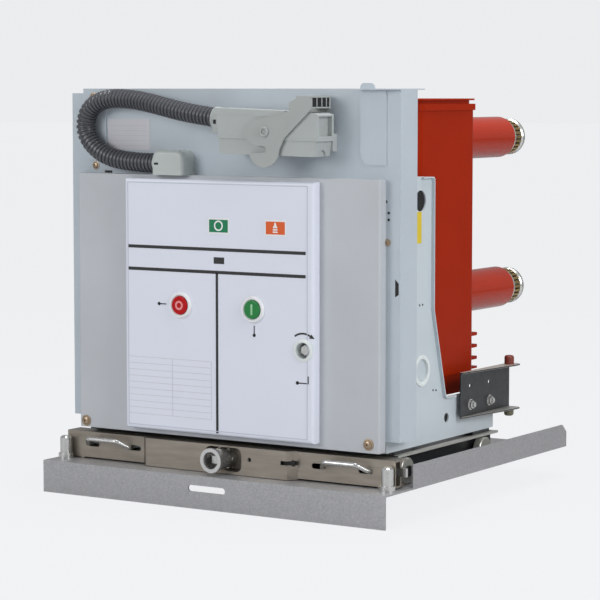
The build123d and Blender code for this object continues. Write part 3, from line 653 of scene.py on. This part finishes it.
def make_plug_clamp():
    """A collar on the plug's neck, in line with the conduit's last run, and the latch in front."""
    bm = bmesh.new()
    end = Vector(CONDUIT_ROUTE[-1])
    run = (end - Vector(CONDUIT_ROUTE[-2])).normalized()
    add_turned(bm, COLLAR, tuple(end), tuple(run))
    add_block(bm, (LATCH_X[0], LATCH_FRONT, LATCH_Z[0]), (LATCH_X[1], LATCH_FRONT + 5, LATCH_Z[1]), 1)
    return close_piece(bm, "plug_clamp", "plug_grey", angle=40)


# A dark plate in the latch's slot: painted shade inside it.
def make_latch_slot():
    bm = bmesh.new()
    low = (LATCH_SLOT_X[0], LATCH_FRONT - 0.4, LATCH_SLOT_Z[0])
    add_block(bm, low, (LATCH_SLOT_X[1], LATCH_FRONT + 0.2, LATCH_SLOT_Z[1]))
    return close_piece(bm, "latch_slot", "shadow_black")


plug_clamp = make_plug_clamp()
make_latch_slot()

# %% Lever pivot
PIVOT = (114.0, 578.0)
PIVOT_OUT = CHEEK + 0.2
PIVOT_HEAD = [(0, 1.0), (4.2, 1.0), (4.2, 2.6), (5.4, 3.2), (7.6, 3.0), (8.8, 1.8), (8.8, 0), (0, 0)]
PIVOT_RADIUS = 6


def make_plug_pivot():
    """The bolt that the lever swings on, with a dished head on each cheek."""
    bm = bmesh.new()
    y_front, y_back = PLUG_FRONT - PIVOT_OUT, PLUG_BACK + PIVOT_OUT
    for y, out in ((y_front, -1), (y_back, 1)):
        add_turned(bm, PIVOT_HEAD, (PIVOT[0], y, PIVOT[1]), (0, out, 0))
    add_disc(bm, PIVOT_RADIUS, y_back - y_front, (PIVOT[0], y_front, PIVOT[1]), (0, 1, 0))
    return close_piece(bm, "plug_pivot", "lever_grey")


plug_pivot = make_plug_pivot()

# %% Bail
BAIL_X = lever_high.x
RECESS_Z = (618.5, 633.5)
RECESS_THICK = 0.3
BAIL_RIB_OUT = 1.2
UPRIGHT_RIBS = (20, 35, 49)
UPRIGHT_RIB = 2.2
UPRIGHT_Z = (618, 634)
LEVEL_RIBS = (616.5, 633.5)
LEVEL_RIB = 2


# A dark plate in the recess on the bail's side: painted shade inside it.
def make_bail_recess():
    bm = bmesh.new()
    low = (BAIL_X, PLUG_FRONT, RECESS_Z[0])
    add_block(bm, low, (BAIL_X + RECESS_THICK, PLUG_BACK, RECESS_Z[1]))
    return close_piece(bm, "bail_recess", "shadow_black", "plug_lever")


def make_bail_ribs():
    bm = bmesh.new()
    out = BAIL_X + BAIL_RIB_OUT
    for y in UPRIGHT_RIBS:
        add_block(bm, (BAIL_X, y, UPRIGHT_Z[0]), (out, y + UPRIGHT_RIB, UPRIGHT_Z[1]))
    for z in LEVEL_RIBS:
        add_block(bm, (BAIL_X, lever_low.y + 1, z), (out, lever_high.y - 1, z + LEVEL_RIB))
    return close_piece(bm, "bail_ribs", "lever_grey", body="plug_lever")


make_bail_recess()
make_bail_ribs()

# %% [markdown]
# A real conduit has one length, cut before it is fitted.
# Its length and thickness are printed here.

print("cord", round(conduit_length, 4), "m long,", round(2 * RIB_CREST, 1), "mm thick")

# %% [markdown]
# Screws hold the covers. Each is a low dome with a recess, over a washer.
# A recess could be cut out of a ball, but one turned profile gives the dome, the recess and the washer
# at once. Screws that share a cover are one piece.

# %% Screws
FORWARD = (0, -1, 0)
COVER_FRONT = corners("front_cover")[0].y
BACK = corners("back_plate")[0].y
FLAP = BACK - 2
SCREW_PROFILE = [
    (0, 0.55),
    (0.3, 0.55),
    (0.34, 1.15),
    (0.7, 1.1),
    (0.95, 0.75),
    (1, 0.35),
    (1.3, 0.3),
    (1.3, 0),
    (0, 0),
]
SCREW_HEIGHT = 0.55
COVER_SCREWS = [(7.4, (-291, COVER_FRONT, 68)), (7.4, (285, COVER_FRONT, 71))]
BACK_SCREWS = [(5.4, (-284, FLAP, 634)), (5.4, (-281, BACK, 515)), (4.6, (308, BACK, 400))]


def make_screws(name, places):
    """Screws of a radius at a place, facing forward, with the profile in shares of radius and height."""
    bm = bmesh.new()
    for radius, centre in places:
        height = radius * SCREW_HEIGHT
        add_turned(bm, [(radius * r, height * h) for r, h in SCREW_PROFILE], centre, FORWARD, 28)
    return close_piece(bm, name, "screw_zinc")


make_screws("cover_screws", COVER_SCREWS)
make_screws("back_plate_screws", BACK_SCREWS)

# %% [markdown]
# The front panel carries black lines and leaders that point at the controls,
# and a thin raised border strip, darker than the panel as painted shade along its overlay sheet's edge.
# They could be a pattern in the panel's material, but such a pattern blurs when it is baked to an image.
# So each mark is a thin raised plate of its own, as a layer of printing ink is.

# %% Panel lines
PANEL_DEPTH = 19
PANEL = COVER_FRONT - PANEL_DEPTH
PRINT = 0.35
LEADER_WIDTH = 1.9
LEADER_DOT = 3.0
LINES = {
    "under the windows": (-183, 377.2, 176, 382.6),
    "over the buttons": (-183, 339.0, 176, 344.4),
    "between the buttons": (-2.2, 70, 2.6, 341),
    "counter": (-6, 356, 15, 367),
}
LEADERS = {
    "trip button": [(-119, 283.5), (-105, 283.5)],
    "close button": [(75, 240), (75, 255)],
    "charging hole": [(160, 166), (181, 166), (181, 177)],
}


def add_mark(bm, x0, z0, x1, z1, y=PANEL, thick=PRINT):
    add_block(bm, (x0, y - thick, z0), (x1, y, z1))


def add_leader(bm, points):
    """A round dot at the first point, and straight strokes along X or Z through the rest."""
    (x, z), half = points[0], LEADER_WIDTH / 2
    add_disc(bm, LEADER_DOT, PRINT, (x, PANEL, z), FORWARD, 24)
    for (x0, z0), (x1, z1) in zip(points, points[1:]):
        add_mark(bm, min(x0, x1) - half, min(z0, z1) - half, max(x0, x1) + half, max(z0, z1) + half)


def make_panel_lines():
    bm = bmesh.new()
    for line in LINES.values():
        add_mark(bm, *line)
    for points in LEADERS.values():
        add_leader(bm, points)
    return close_piece(bm, "panel_lines", "ink")


make_panel_lines()

# %% Panel border
BORDER_X = (-184.5, 178.5)
BORDER_Z = (72.5, 488.5)
BORDER_WIDTH = 1.4
BORDER_THICK = 0.5


# The border strips are darker than the panel: painted shade along the overlay sheet's edge.
def make_panel_edge_shade():
    bm = bmesh.new()
    (x0, x1), (z0, z1), wide = BORDER_X, BORDER_Z, BORDER_WIDTH
    level = ((x0, z0, x1, z0 + wide), (x0, z1, x1, z1 + wide))
    upright = ((x0, z0, x0 + wide, z1), (x1, z0, x1 + wide, z1 + wide))
    for strip in level + upright:
        add_mark(bm, *strip, thick=BORDER_THICK)
    return close_piece(bm, "panel_edge_shade", "edge_shade_grey")


make_panel_edge_shade()

# %% [markdown]
# Two windows show the state of the contacts and of the spring, and a white ring guards each push-button.
# Glass over a hole could show a flag behind it, but the flags sit right behind their panes,
# so a coloured plate in a raised frame looks the same and stays simple.

# %% Windows and button rings
WINDOW_Z = (406, 433)
WINDOWS = ((-17.5, 26), (96, 139))
FRAME_THICK = 0.8
PANE_THICK = 1.2
PANE_IN = 3
trip_centre, close_centre = middle("trip_button"), middle("close_button")
RING_BACK = PANEL - 2
RING = [(16, -2), (22.5, -2), (22.5, 0.6), (20.5, 3), (18, 3), (16, 1), (16, -2)]


def make_panel_frames():
    bm = bmesh.new()
    for x0, x1 in WINDOWS:
        add_mark(bm, x0, WINDOW_Z[0], x1, WINDOW_Z[1], thick=FRAME_THICK)
    for button in (trip_centre, close_centre):
        add_turned(bm, RING, (button.x, RING_BACK, button.z), FORWARD, 64)
    return close_piece(bm, "panel_frames", "ring_white")


def make_pane(name, window, material):
    bm = bmesh.new()
    (x0, x1), (z0, z1) = window, WINDOW_Z
    add_mark(bm, x0 + PANE_IN, z0 + PANE_IN, x1 - PANE_IN, z1 - PANE_IN, thick=PANE_THICK)
    return close_piece(bm, name, material)


make_panel_frames()
make_pane("state_window", WINDOWS[0], "window_green")
make_pane("spring_window", WINDOWS[1], "window_orange")

# %% Window marks
MARK_THICK = 0.4
MARK_SINK = 0.6
NOUGHT = (4.5, 420)
NOUGHT_RADII = (6.4, 8.8)
BELL = [(112.5, 419.5), (122.5, 419.5), (119.5, 424), (118.6, 428.5), (116.4, 428.5), (115.5, 424)]
BELL_BARS_X = (113, 122)
BELL_BARS_Z = (415.6, 411.8)
BELL_BAR = 2.2


def make_window_marks():
    """A nought in the first window, and a small bell over two bars in the second."""
    bm = bmesh.new()
    add_ring(bm, *NOUGHT_RADII, MARK_THICK, (NOUGHT[0], PANEL - PANE_THICK, NOUGHT[1]), FORWARD)
    front = PANEL - PANE_THICK - MARK_THICK
    add_slab(bm, [(x, front, z) for x, z in BELL], (0, MARK_SINK, 0))
    x0, x1 = BELL_BARS_X
    for z in BELL_BARS_Z:
        add_mark(bm, x0, z, x1, z + BELL_BAR, y=front + MARK_SINK, thick=MARK_SINK)
    return close_piece(bm, "window_marks", "white_mark")


make_window_marks()

# %% Ruled plate
TABLE_X = (-184, -92, -12)
TABLE_Z = (92, 190)
TABLE_ROWS = 9
RULE = 0.7
RULE_THICK = 0.25


def make_ruled_plate():
    """A bare table of nine rows and two columns in the panel's lower corner."""
    bm = bmesh.new()
    (z0, z1), left, right = TABLE_Z, TABLE_X[0], TABLE_X[-1]
    for row in range(TABLE_ROWS + 1):
        z = z0 + (z1 - z0) * row / TABLE_ROWS
        add_mark(bm, left, z, right, z + RULE, thick=RULE_THICK)
    for x in TABLE_X:
        add_mark(bm, x, z0, x + RULE, z1, thick=RULE_THICK)
    return close_piece(bm, "blank_table", "label_paper")


make_ruled_plate()

# %% [markdown]
# The two push-buttons carry a nought and a bar, which say off and on.
# They could be part of the panel's printing, but then they would stay behind when a button is pressed.
# So they ride on the buttons' own bodies and sink with them.

# %% Button marks
BUTTON_FACE = corners("trip_button")[0].y
BUTTON_MARK = 0.5
TRIP_RADII = (4.6, 7.8)
BAR_HALF = 1.9
BAR_Z = (274, 292)


def make_trip_mark():
    bm = bmesh.new()
    add_ring(bm, *TRIP_RADII, BUTTON_MARK, (trip_centre.x, BUTTON_FACE, trip_centre.z), FORWARD)
    return close_piece(bm, "trip_mark", "mark_pink", "trip_button")


def make_close_mark():
    bm = bmesh.new()
    low = (close_centre.x - BAR_HALF, BUTTON_FACE - BUTTON_MARK, BAR_Z[0])
    add_block(bm, low, (close_centre.x + BAR_HALF, BUTTON_FACE, BAR_Z[1]), 0.2)
    return close_piece(bm, "close_mark", "mark_green", "close_button")


make_trip_mark()
make_close_mark()

# %% [markdown]
# The charging hole has a white collar, and a curved arrow above it shows which way to wind.
# The arrow could be bent from a bar, but a flat outline is simpler: the outer arc, the head,
# and the inner arc back again.

# %% Charging hole
charge = middle("charging_shaft")
CHARGE_COLLAR = [
    (14.9, -16),
    (14.9, 0),
    (19, 0),
    (19, 1.0),
    (17, 2.2),
    (13.4, 2.2),
    (13.4, -16),
    (14.9, -16),
]
ARROW_INNER, ARROW_OUTER = 26.5, 29.5
HEAD_INNER, HEAD_OUTER = 23.8, 31.8
HEAD_TIP = (22.5, 20.5)
ARROW_START, ARROW_SWEEP, ARROW_STEPS = 125, 65, 16


def on_arc(radius, angle):
    return (radius * math.cos(angle), radius * math.sin(angle))


def make_winding_arrow():
    """A curved bar that bulges upwards, from left to right, with an arrow head at its right end."""
    bm = bmesh.new()
    turns = [math.radians(ARROW_START - ARROW_SWEEP * k / ARROW_STEPS) for k in range(ARROW_STEPS + 1)]
    outer = [on_arc(ARROW_OUTER, turn) for turn in turns]
    head = [on_arc(HEAD_OUTER, turns[-1]), HEAD_TIP, on_arc(HEAD_INNER, turns[-1])]
    inner = [on_arc(ARROW_INNER, turn) for turn in reversed(turns)]
    outline = [(charge.x + x, PANEL, charge.z + z) for x, z in outer + head + inner]
    add_slab(bm, outline, (0, -PRINT, 0))
    return close_piece(bm, "winding_arrow", "ink")


def make_charge_collar():
    """The collar and the white wall of the hole."""
    bm = bmesh.new()
    add_turned(bm, CHARGE_COLLAR, (charge.x, PANEL, charge.z), FORWARD, 56)
    return close_piece(bm, "charging_collar", "grommet_white")


make_winding_arrow()
make_charge_collar()

# %% [markdown]
# The back plate carries a paper label, a slot and a few small holes.
# The holes could be cut right through, but they are small and nothing shows behind them,
# so thin dark plates on the sheet stand for them and for the slot, as painted shade.

# %% Paper label
PAPER = 0.4
LABEL = (-254, 543, -165, 596)
LABEL_RULE = 0.8
LABEL_RULE_THICK = 0.2
LABEL_RULES = (-248, 550, -171)
LABEL_ROWS = 5
LABEL_STEP = 8.5


def make_paper_label():
    bm = bmesh.new()
    add_mark(bm, *LABEL, y=BACK, thick=PAPER)
    return close_piece(bm, "paper_label", "label_paper")


def make_paper_rules():
    bm = bmesh.new()
    x0, z0, x1 = LABEL_RULES
    for row in range(LABEL_ROWS):
        z = z0 + row * LABEL_STEP
        add_mark(bm, x0, z, x1, z + LABEL_RULE, y=BACK - PAPER, thick=LABEL_RULE_THICK)
    return close_piece(bm, "paper_rules", "gland_grey")


make_paper_label()
make_paper_rules()

# %% Back plate holes
HOLE = 0.3
SLOT = (-262, 502.5, -246, 506.5)
ROUND_HOLES = ((305, 466, 2.6), (310, 448, 2.2), (310, 437, 2.2))
EDGE_NOTCH = [(322.5, 312), (329, 316), (329, 334), (322.5, 341)]
GLAND_SLOT = ((-130, 35.4, 519.5), (-122, 36.2, 523))


# Thin dark plates for the slot, the round holes and the notch: painted shade inside them.
def make_back_plate_holes():
    bm = bmesh.new()
    add_mark(bm, *SLOT, y=BACK)
    for x, z, radius in ROUND_HOLES:
        add_disc(bm, radius, HOLE, (x, BACK, z), FORWARD, 20)
    add_slab(bm, [(x, BACK, z) for x, z in EDGE_NOTCH], (0, -HOLE, 0))
    return close_piece(bm, "back_plate_holes", "shadow_black")


# A dark block for the slot by the gland: painted shade inside it.
def make_gland_slot():
    bm = bmesh.new()
    add_block(bm, *GLAND_SLOT, 0.2)
    return close_piece(bm, "gland_slot", "shadow_black")


make_back_plate_holes()
make_gland_slot()

# %% [markdown]
# On each side plate a plastic grommet lines the wiring hole, and a yellow label is below the lifting hole.
# The grommet could be a bevelled tube, but a turned profile gives its rolled lip directly.
# The holes go through the sheet only, so a black disc just behind it paints the shade inside them.

# %% Side plates
SIDES = {"left": -1, "right": 1}
SHEET = 3
PLATE = corners("mechanism_case")[1].x + SHEET
GROMMET = [(19.5, -6), (21, -6), (21, 0), (26.5, 0.4), (26, 2.2), (22, 3), (19.5, 2.2), (19.5, -6)]
WIRING_HOLE = (188, 180)
DOTS = ((181, 290), (191, 290), (228, 143), (238, 142))
DOT_RADIUS, DOT_THICK = 1.8, 0.4
BACKED_HOLES = ((183, 463, 17.8), (275, 91, 8.3))
BACKING = 0.5
BACKING_DEPTH = 2.9
SIDE_LABEL = ((163, 393), (186, 445))
LABEL_THICK = 0.4


def add_side_block(bm, sign, inner, outer, low, high):
    """A block between two distances out from the middle and two corners in (y, z), on either side."""
    x0, x1 = sorted((sign * inner, sign * outer))
    add_block(bm, (x0, *low), (x1, *high))


def make_grommet(side, sign):
    bm = bmesh.new()
    add_turned(bm, GROMMET, (sign * PLATE, *WIRING_HOLE), (sign, 0, 0), 56)
    return close_piece(bm, f"grommet_{side}", "grommet_white")


def make_side_dots(side, sign):
    bm = bmesh.new()
    for y, z in DOTS:
        add_disc(bm, DOT_RADIUS, DOT_THICK, (sign * PLATE, y, z), (sign, 0, 0), 16)
    return close_piece(bm, f"side_dots_{side}", "shadow_black")


# A black disc behind each hole: painted shade inside it.
def make_hole_shade(side, sign):
    bm = bmesh.new()
    for y, z, radius in BACKED_HOLES:
        add_disc(bm, radius, BACKING, (sign * (PLATE - BACKING_DEPTH), y, z), (sign, 0, 0))
    return close_piece(bm, f"hole_shade_{side}", "shadow_black")


def make_side_label(side, sign):
    bm = bmesh.new()
    add_side_block(bm, sign, PLATE, PLATE + LABEL_THICK, *SIDE_LABEL)
    return close_piece(bm, f"side_label_{side}", "label_yellow")


for side, sign in SIDES.items():
    for make in (make_grommet, make_side_dots, make_hole_shade, make_side_label):
        make(side, sign)

# %% [markdown]
# Each arm ends in a spring contact: a ring of bronze fingers between a silvered root and a silvered nose.
# An array modifier could copy the fingers, but it has to be turned by a second object.
# So a loop turns each finger round the axis, and the contact is made at each of the six arms.

# %% Contacts
LEVELS = ("lower", "upper")
PHASES = ("left", "middle", "right")
ROOT = [(0, 0), (31.5, 0), (33, 1.5), (33, 12), (31, 14), (0, 14)]
NOSE = [
    (17.6, 38),
    (30.5, 38),
    (33, 40.5),
    (33, 47),
    (30.5, 51),
    (23, 51),
    (19, 49),
    (17.6, 46),
    (17.6, 38),
]
FINGERS = 24
FINGER_SIZE = (10, 4.8, 34)
FINGER_EDGE = 0.8
FINGER_RADIUS = 26
FINGER_MIDDLE = 25
BACKWARD = (0, 1, 0)


def contact_place(level, phase):
    """Where the contact's axis meets the arm's end."""
    node = f"tulip_{level}_{phase}"
    centre = middle(node)
    return (centre.x, corners(node)[0].y, centre.z)


def make_contact_nose(level, phase):
    bm = bmesh.new()
    place = contact_place(level, phase)
    add_turned(bm, ROOT, place, BACKWARD, 56)
    add_turned(bm, NOSE, place, BACKWARD, 64)
    nose = close_piece(bm, f"contact_nose_{level}_{phase}", "silver_plate")
    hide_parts(f"tulip_{level}_{phase}")
    return nose


def make_contact_fingers(level, phase):
    bm = bmesh.new()
    size = Matrix.Diagonal((*[length * MM for length in FINGER_SIZE], 1))
    out = Matrix.Translation((FINGER_RADIUS * MM, 0, FINGER_MIDDLE * MM))
    stand = facing(contact_place(level, phase), BACKWARD)
    for k in range(FINGERS):
        finger = bmesh.new()
        turn = Matrix.Rotation(math.tau * k / FINGERS, 4, "Z")
        bmesh.ops.create_cube(finger, size=1.0, matrix=turn @ out @ size)
        soften(finger, finger.edges[:], FINGER_EDGE, 1)
        join(bm, finger, stand)
    return close_piece(bm, f"contact_fingers_{level}_{phase}", "bronze")


for phase in PHASES:
    for level in LEVELS:
        make_contact_nose(level, phase)
        make_contact_fingers(level, phase)

# %% [markdown]
# Each shutter wing is a folded sheet, held to its side plate by two hexagon bolts over washers.
# Its flanges are given a paler finish than its web. Two materials on one solid would need its faces sorted,
# so a thin pale skin covers each flange instead.

# %% Shutter wings
wing_low, wing_high = corners("shutter_wing_right")
WING_SHEET = 2
WING_WEB = 314
BOLTS_Y = (341, 410)
BOLT_SEAT = (316, 107)
WASHER_RADIUS, WASHER = 9.5, 1.4
BOLT_RADIUS, BOLT_OUT = 4.6, 9.5
BOLT_HEAD = [(0, WASHER), (7.8, WASHER), (7.8, 6), (6.8, 6.8), (0, 6.8)]
SKIN = 0.3
INSIDE = 0.01
FLANGE = [
    (WING_WEB, wing_low.y),
    (319, wing_low.y),
    (wing_high.x, 462),
    (wing_high.x, 480),
    (334, wing_high.y),
    (WING_WEB, wing_high.y),
]


def make_wing_bolts(side, sign):
    bm = bmesh.new()
    x, z = BOLT_SEAT
    for y in BOLTS_Y:
        centre, out = (sign * x, y, z), (sign, 0, 0)
        add_disc(bm, WASHER_RADIUS, WASHER, centre, out, 32)
        add_turned(bm, BOLT_HEAD, centre, out, 6)
        add_disc(bm, BOLT_RADIUS, BOLT_OUT, centre, out, 24)
    return close_piece(bm, f"wing_bolts_{side}", "bright_steel")


def make_wing_faces(side, sign):
    """Skins on the outer faces, and on the inner ones from just outside the web."""
    bm = bmesh.new()
    top, bottom = wing_high.z, wing_low.z
    web = WING_WEB + WING_SHEET + 0.1
    under, over = top - WING_SHEET - INSIDE, bottom + WING_SHEET + INSIDE
    skins = ((top, SKIN, WING_WEB), (bottom, -SKIN, WING_WEB), (under, -SKIN, web), (over, SKIN, web))
    for z, thick, start in skins:
        add_slab(bm, [(sign * max(x, start), y, z) for x, y in FLANGE], (0, 0, thick))
    return close_piece(bm, f"wing_faces_{side}", "flange_pale")


for side, sign in SIDES.items():
    make_wing_bolts(side, sign)
    make_wing_faces(side, sign)

# %% [markdown]
# The truck's top plate catches the light along its edge, so two thin pale strips paint that highlight.
# A pointiness pattern could brighten the edge, but that only works on a fine mesh.
# The crossbar cover's slots get painted shade from a black plate behind each.

# %% Truck edge and slots
truck_low, truck_high = corners("truck_frame")
TRUCK_SIDE = 315
EDGE_SKIN = 0.5
EDGE_FOOT, EDGE_TOP = 45.5, 49.3
EDGE_INNER = 306.5
SLOT_SHADES = (((120, 46, 24), (147, 46.6, 34)), ((56, 45, 25.2), (64, 45.5, 32.8)))


# Pale strips on the edge's side and top: a painted highlight.
def make_truck_highlight(side, sign):
    bm = bmesh.new()
    front, rear = truck_low.y, truck_high.y
    outer = TRUCK_SIDE + EDGE_SKIN
    add_side_block(bm, sign, TRUCK_SIDE, outer, (front, EDGE_FOOT), (rear, EDGE_TOP))
    add_side_block(bm, sign, EDGE_INNER, outer, (front, EDGE_TOP - 0.3), (rear, EDGE_TOP + 0.1))
    return close_piece(bm, f"truck_highlight_{side}", "flange_pale")


# Black plates behind the cover's slots: painted shade.
def make_slot_shade():
    bm = bmesh.new()
    for low, high in SLOT_SHADES:
        add_block(bm, low, high)
    return close_piece(bm, "cover_slot_shade", "shadow_black", "tray")


for side, sign in SIDES.items():
    make_truck_highlight(side, sign)
make_slot_shade()

# %% [markdown]
# The set is a wide pale floor under an even pale sky, so that the breaker looks alike from every side.
# A curved backdrop could do it for one camera only, because it hides the object from behind.
# For rays straight from the camera, the floor mixes in a glow of the sky's colour, which hides the horizon.

# %% Floor
BACKDROP = tone(237, 238, 240)
FLOOR_PAINT = tone(196, 197, 199)
GLOW = 1.06
GLOW_SHARE = 0.93
FLOOR_REACH = 40.0


def make_backdrop_material():
    material = start_finish("backdrop", FLOOR_PAINT, 0.9)
    nodes, links = material.node_tree.nodes, material.node_tree.links
    glow = nodes.new("ShaderNodeEmission")
    glow.inputs["Color"].default_value = (*BACKDROP, 1)
    glow.inputs["Strength"].default_value = GLOW
    path = nodes.new("ShaderNodeLightPath")
    share = nodes.new("ShaderNodeMath")
    share.operation = "MULTIPLY"
    share.inputs[1].default_value = GLOW_SHARE
    links.new(path.outputs["Is Camera Ray"], share.inputs[0])
    mix = nodes.new("ShaderNodeMixShader")
    links.new(share.outputs[0], mix.inputs[0])
    links.new(nodes["Principled BSDF"].outputs[0], mix.inputs[1])
    links.new(glow.outputs[0], mix.inputs[2])
    links.new(mix.outputs[0], nodes["Material Output"].inputs["Surface"])
    return material


def make_floor():
    bm = bmesh.new()
    level = Matrix.Translation((0, 0, cad_box[0].z))
    bmesh.ops.create_grid(bm, x_segments=1, y_segments=1, size=FLOOR_REACH, matrix=level)
    mesh = bpy.data.meshes.new("floor")
    bm.to_mesh(mesh)
    bm.free()
    mesh.materials.append(make_backdrop_material())
    floor = bpy.data.objects.new("floor", mesh)
    bpy.context.scene.collection.objects.link(floor)
    return floor


make_floor()
print("floor at", round(cad_box[0].z, 4), "m")

# %% [markdown]
# The light is soft and even: a large lamp overhead, one on the right that lifts the side plate,
# and a weaker one in front. Small lamps could light it as brightly,
# but large ones were chosen because their shadows have soft edges.

# %% Lamps
AIM = Vector((0, 0, 0.3))
LAMPS = {
    "overhead": ((0.3, 0.1, 3.0), 1.8, 62),
    "right_side": ((3.2, -0.8, 1.6), 1.6, 52),
    "front": ((-1.4, -3.4, 1.5), 2.0, 46),
}


def add_lamp(name, place, size, power):
    data = bpy.data.lights.new(name, "AREA")
    data.shape = "DISK"
    data.size = size
    data.energy = power
    lamp = bpy.data.objects.new(name, data)
    bpy.context.scene.collection.objects.link(lamp)
    lamp.location = place
    lamp.rotation_euler = (AIM - Vector(place)).to_track_quat("-Z", "Y").to_euler()
    return lamp


for name, values in LAMPS.items():
    add_lamp(name, *values)
print(len(LAMPS), "lamps")

# %% [markdown]
# The room around the breaker fills the shadows. A lamp from every side could do it, but a sky is simpler.
# It lights the object softly at one strength, and the camera sees it at another, in the floor's colour.

# %% World
SKY_LIGHT = 0.4


def make_world():
    world = bpy.data.worlds.new("studio")
    world.use_nodes = True
    nodes, links = world.node_tree.nodes, world.node_tree.links
    soft = nodes["Background"]
    seen = nodes.new("ShaderNodeBackground")
    for sky, strength in ((soft, SKY_LIGHT), (seen, GLOW * GLOW_SHARE)):
        sky.inputs["Color"].default_value = (*BACKDROP, 1)
        sky.inputs["Strength"].default_value = strength
    path = nodes.new("ShaderNodeLightPath")
    mix = nodes.new("ShaderNodeMixShader")
    links.new(path.outputs["Is Camera Ray"], mix.inputs[0])
    links.new(soft.outputs[0], mix.inputs[1])
    links.new(seen.outputs[0], mix.inputs[2])
    links.new(mix.outputs[0], nodes["World Output"].inputs["Surface"])
    bpy.context.scene.world = world
    return world


make_world()
bpy.context.scene.view_settings.view_transform = "Standard"
print("sky at", SKY_LIGHT)
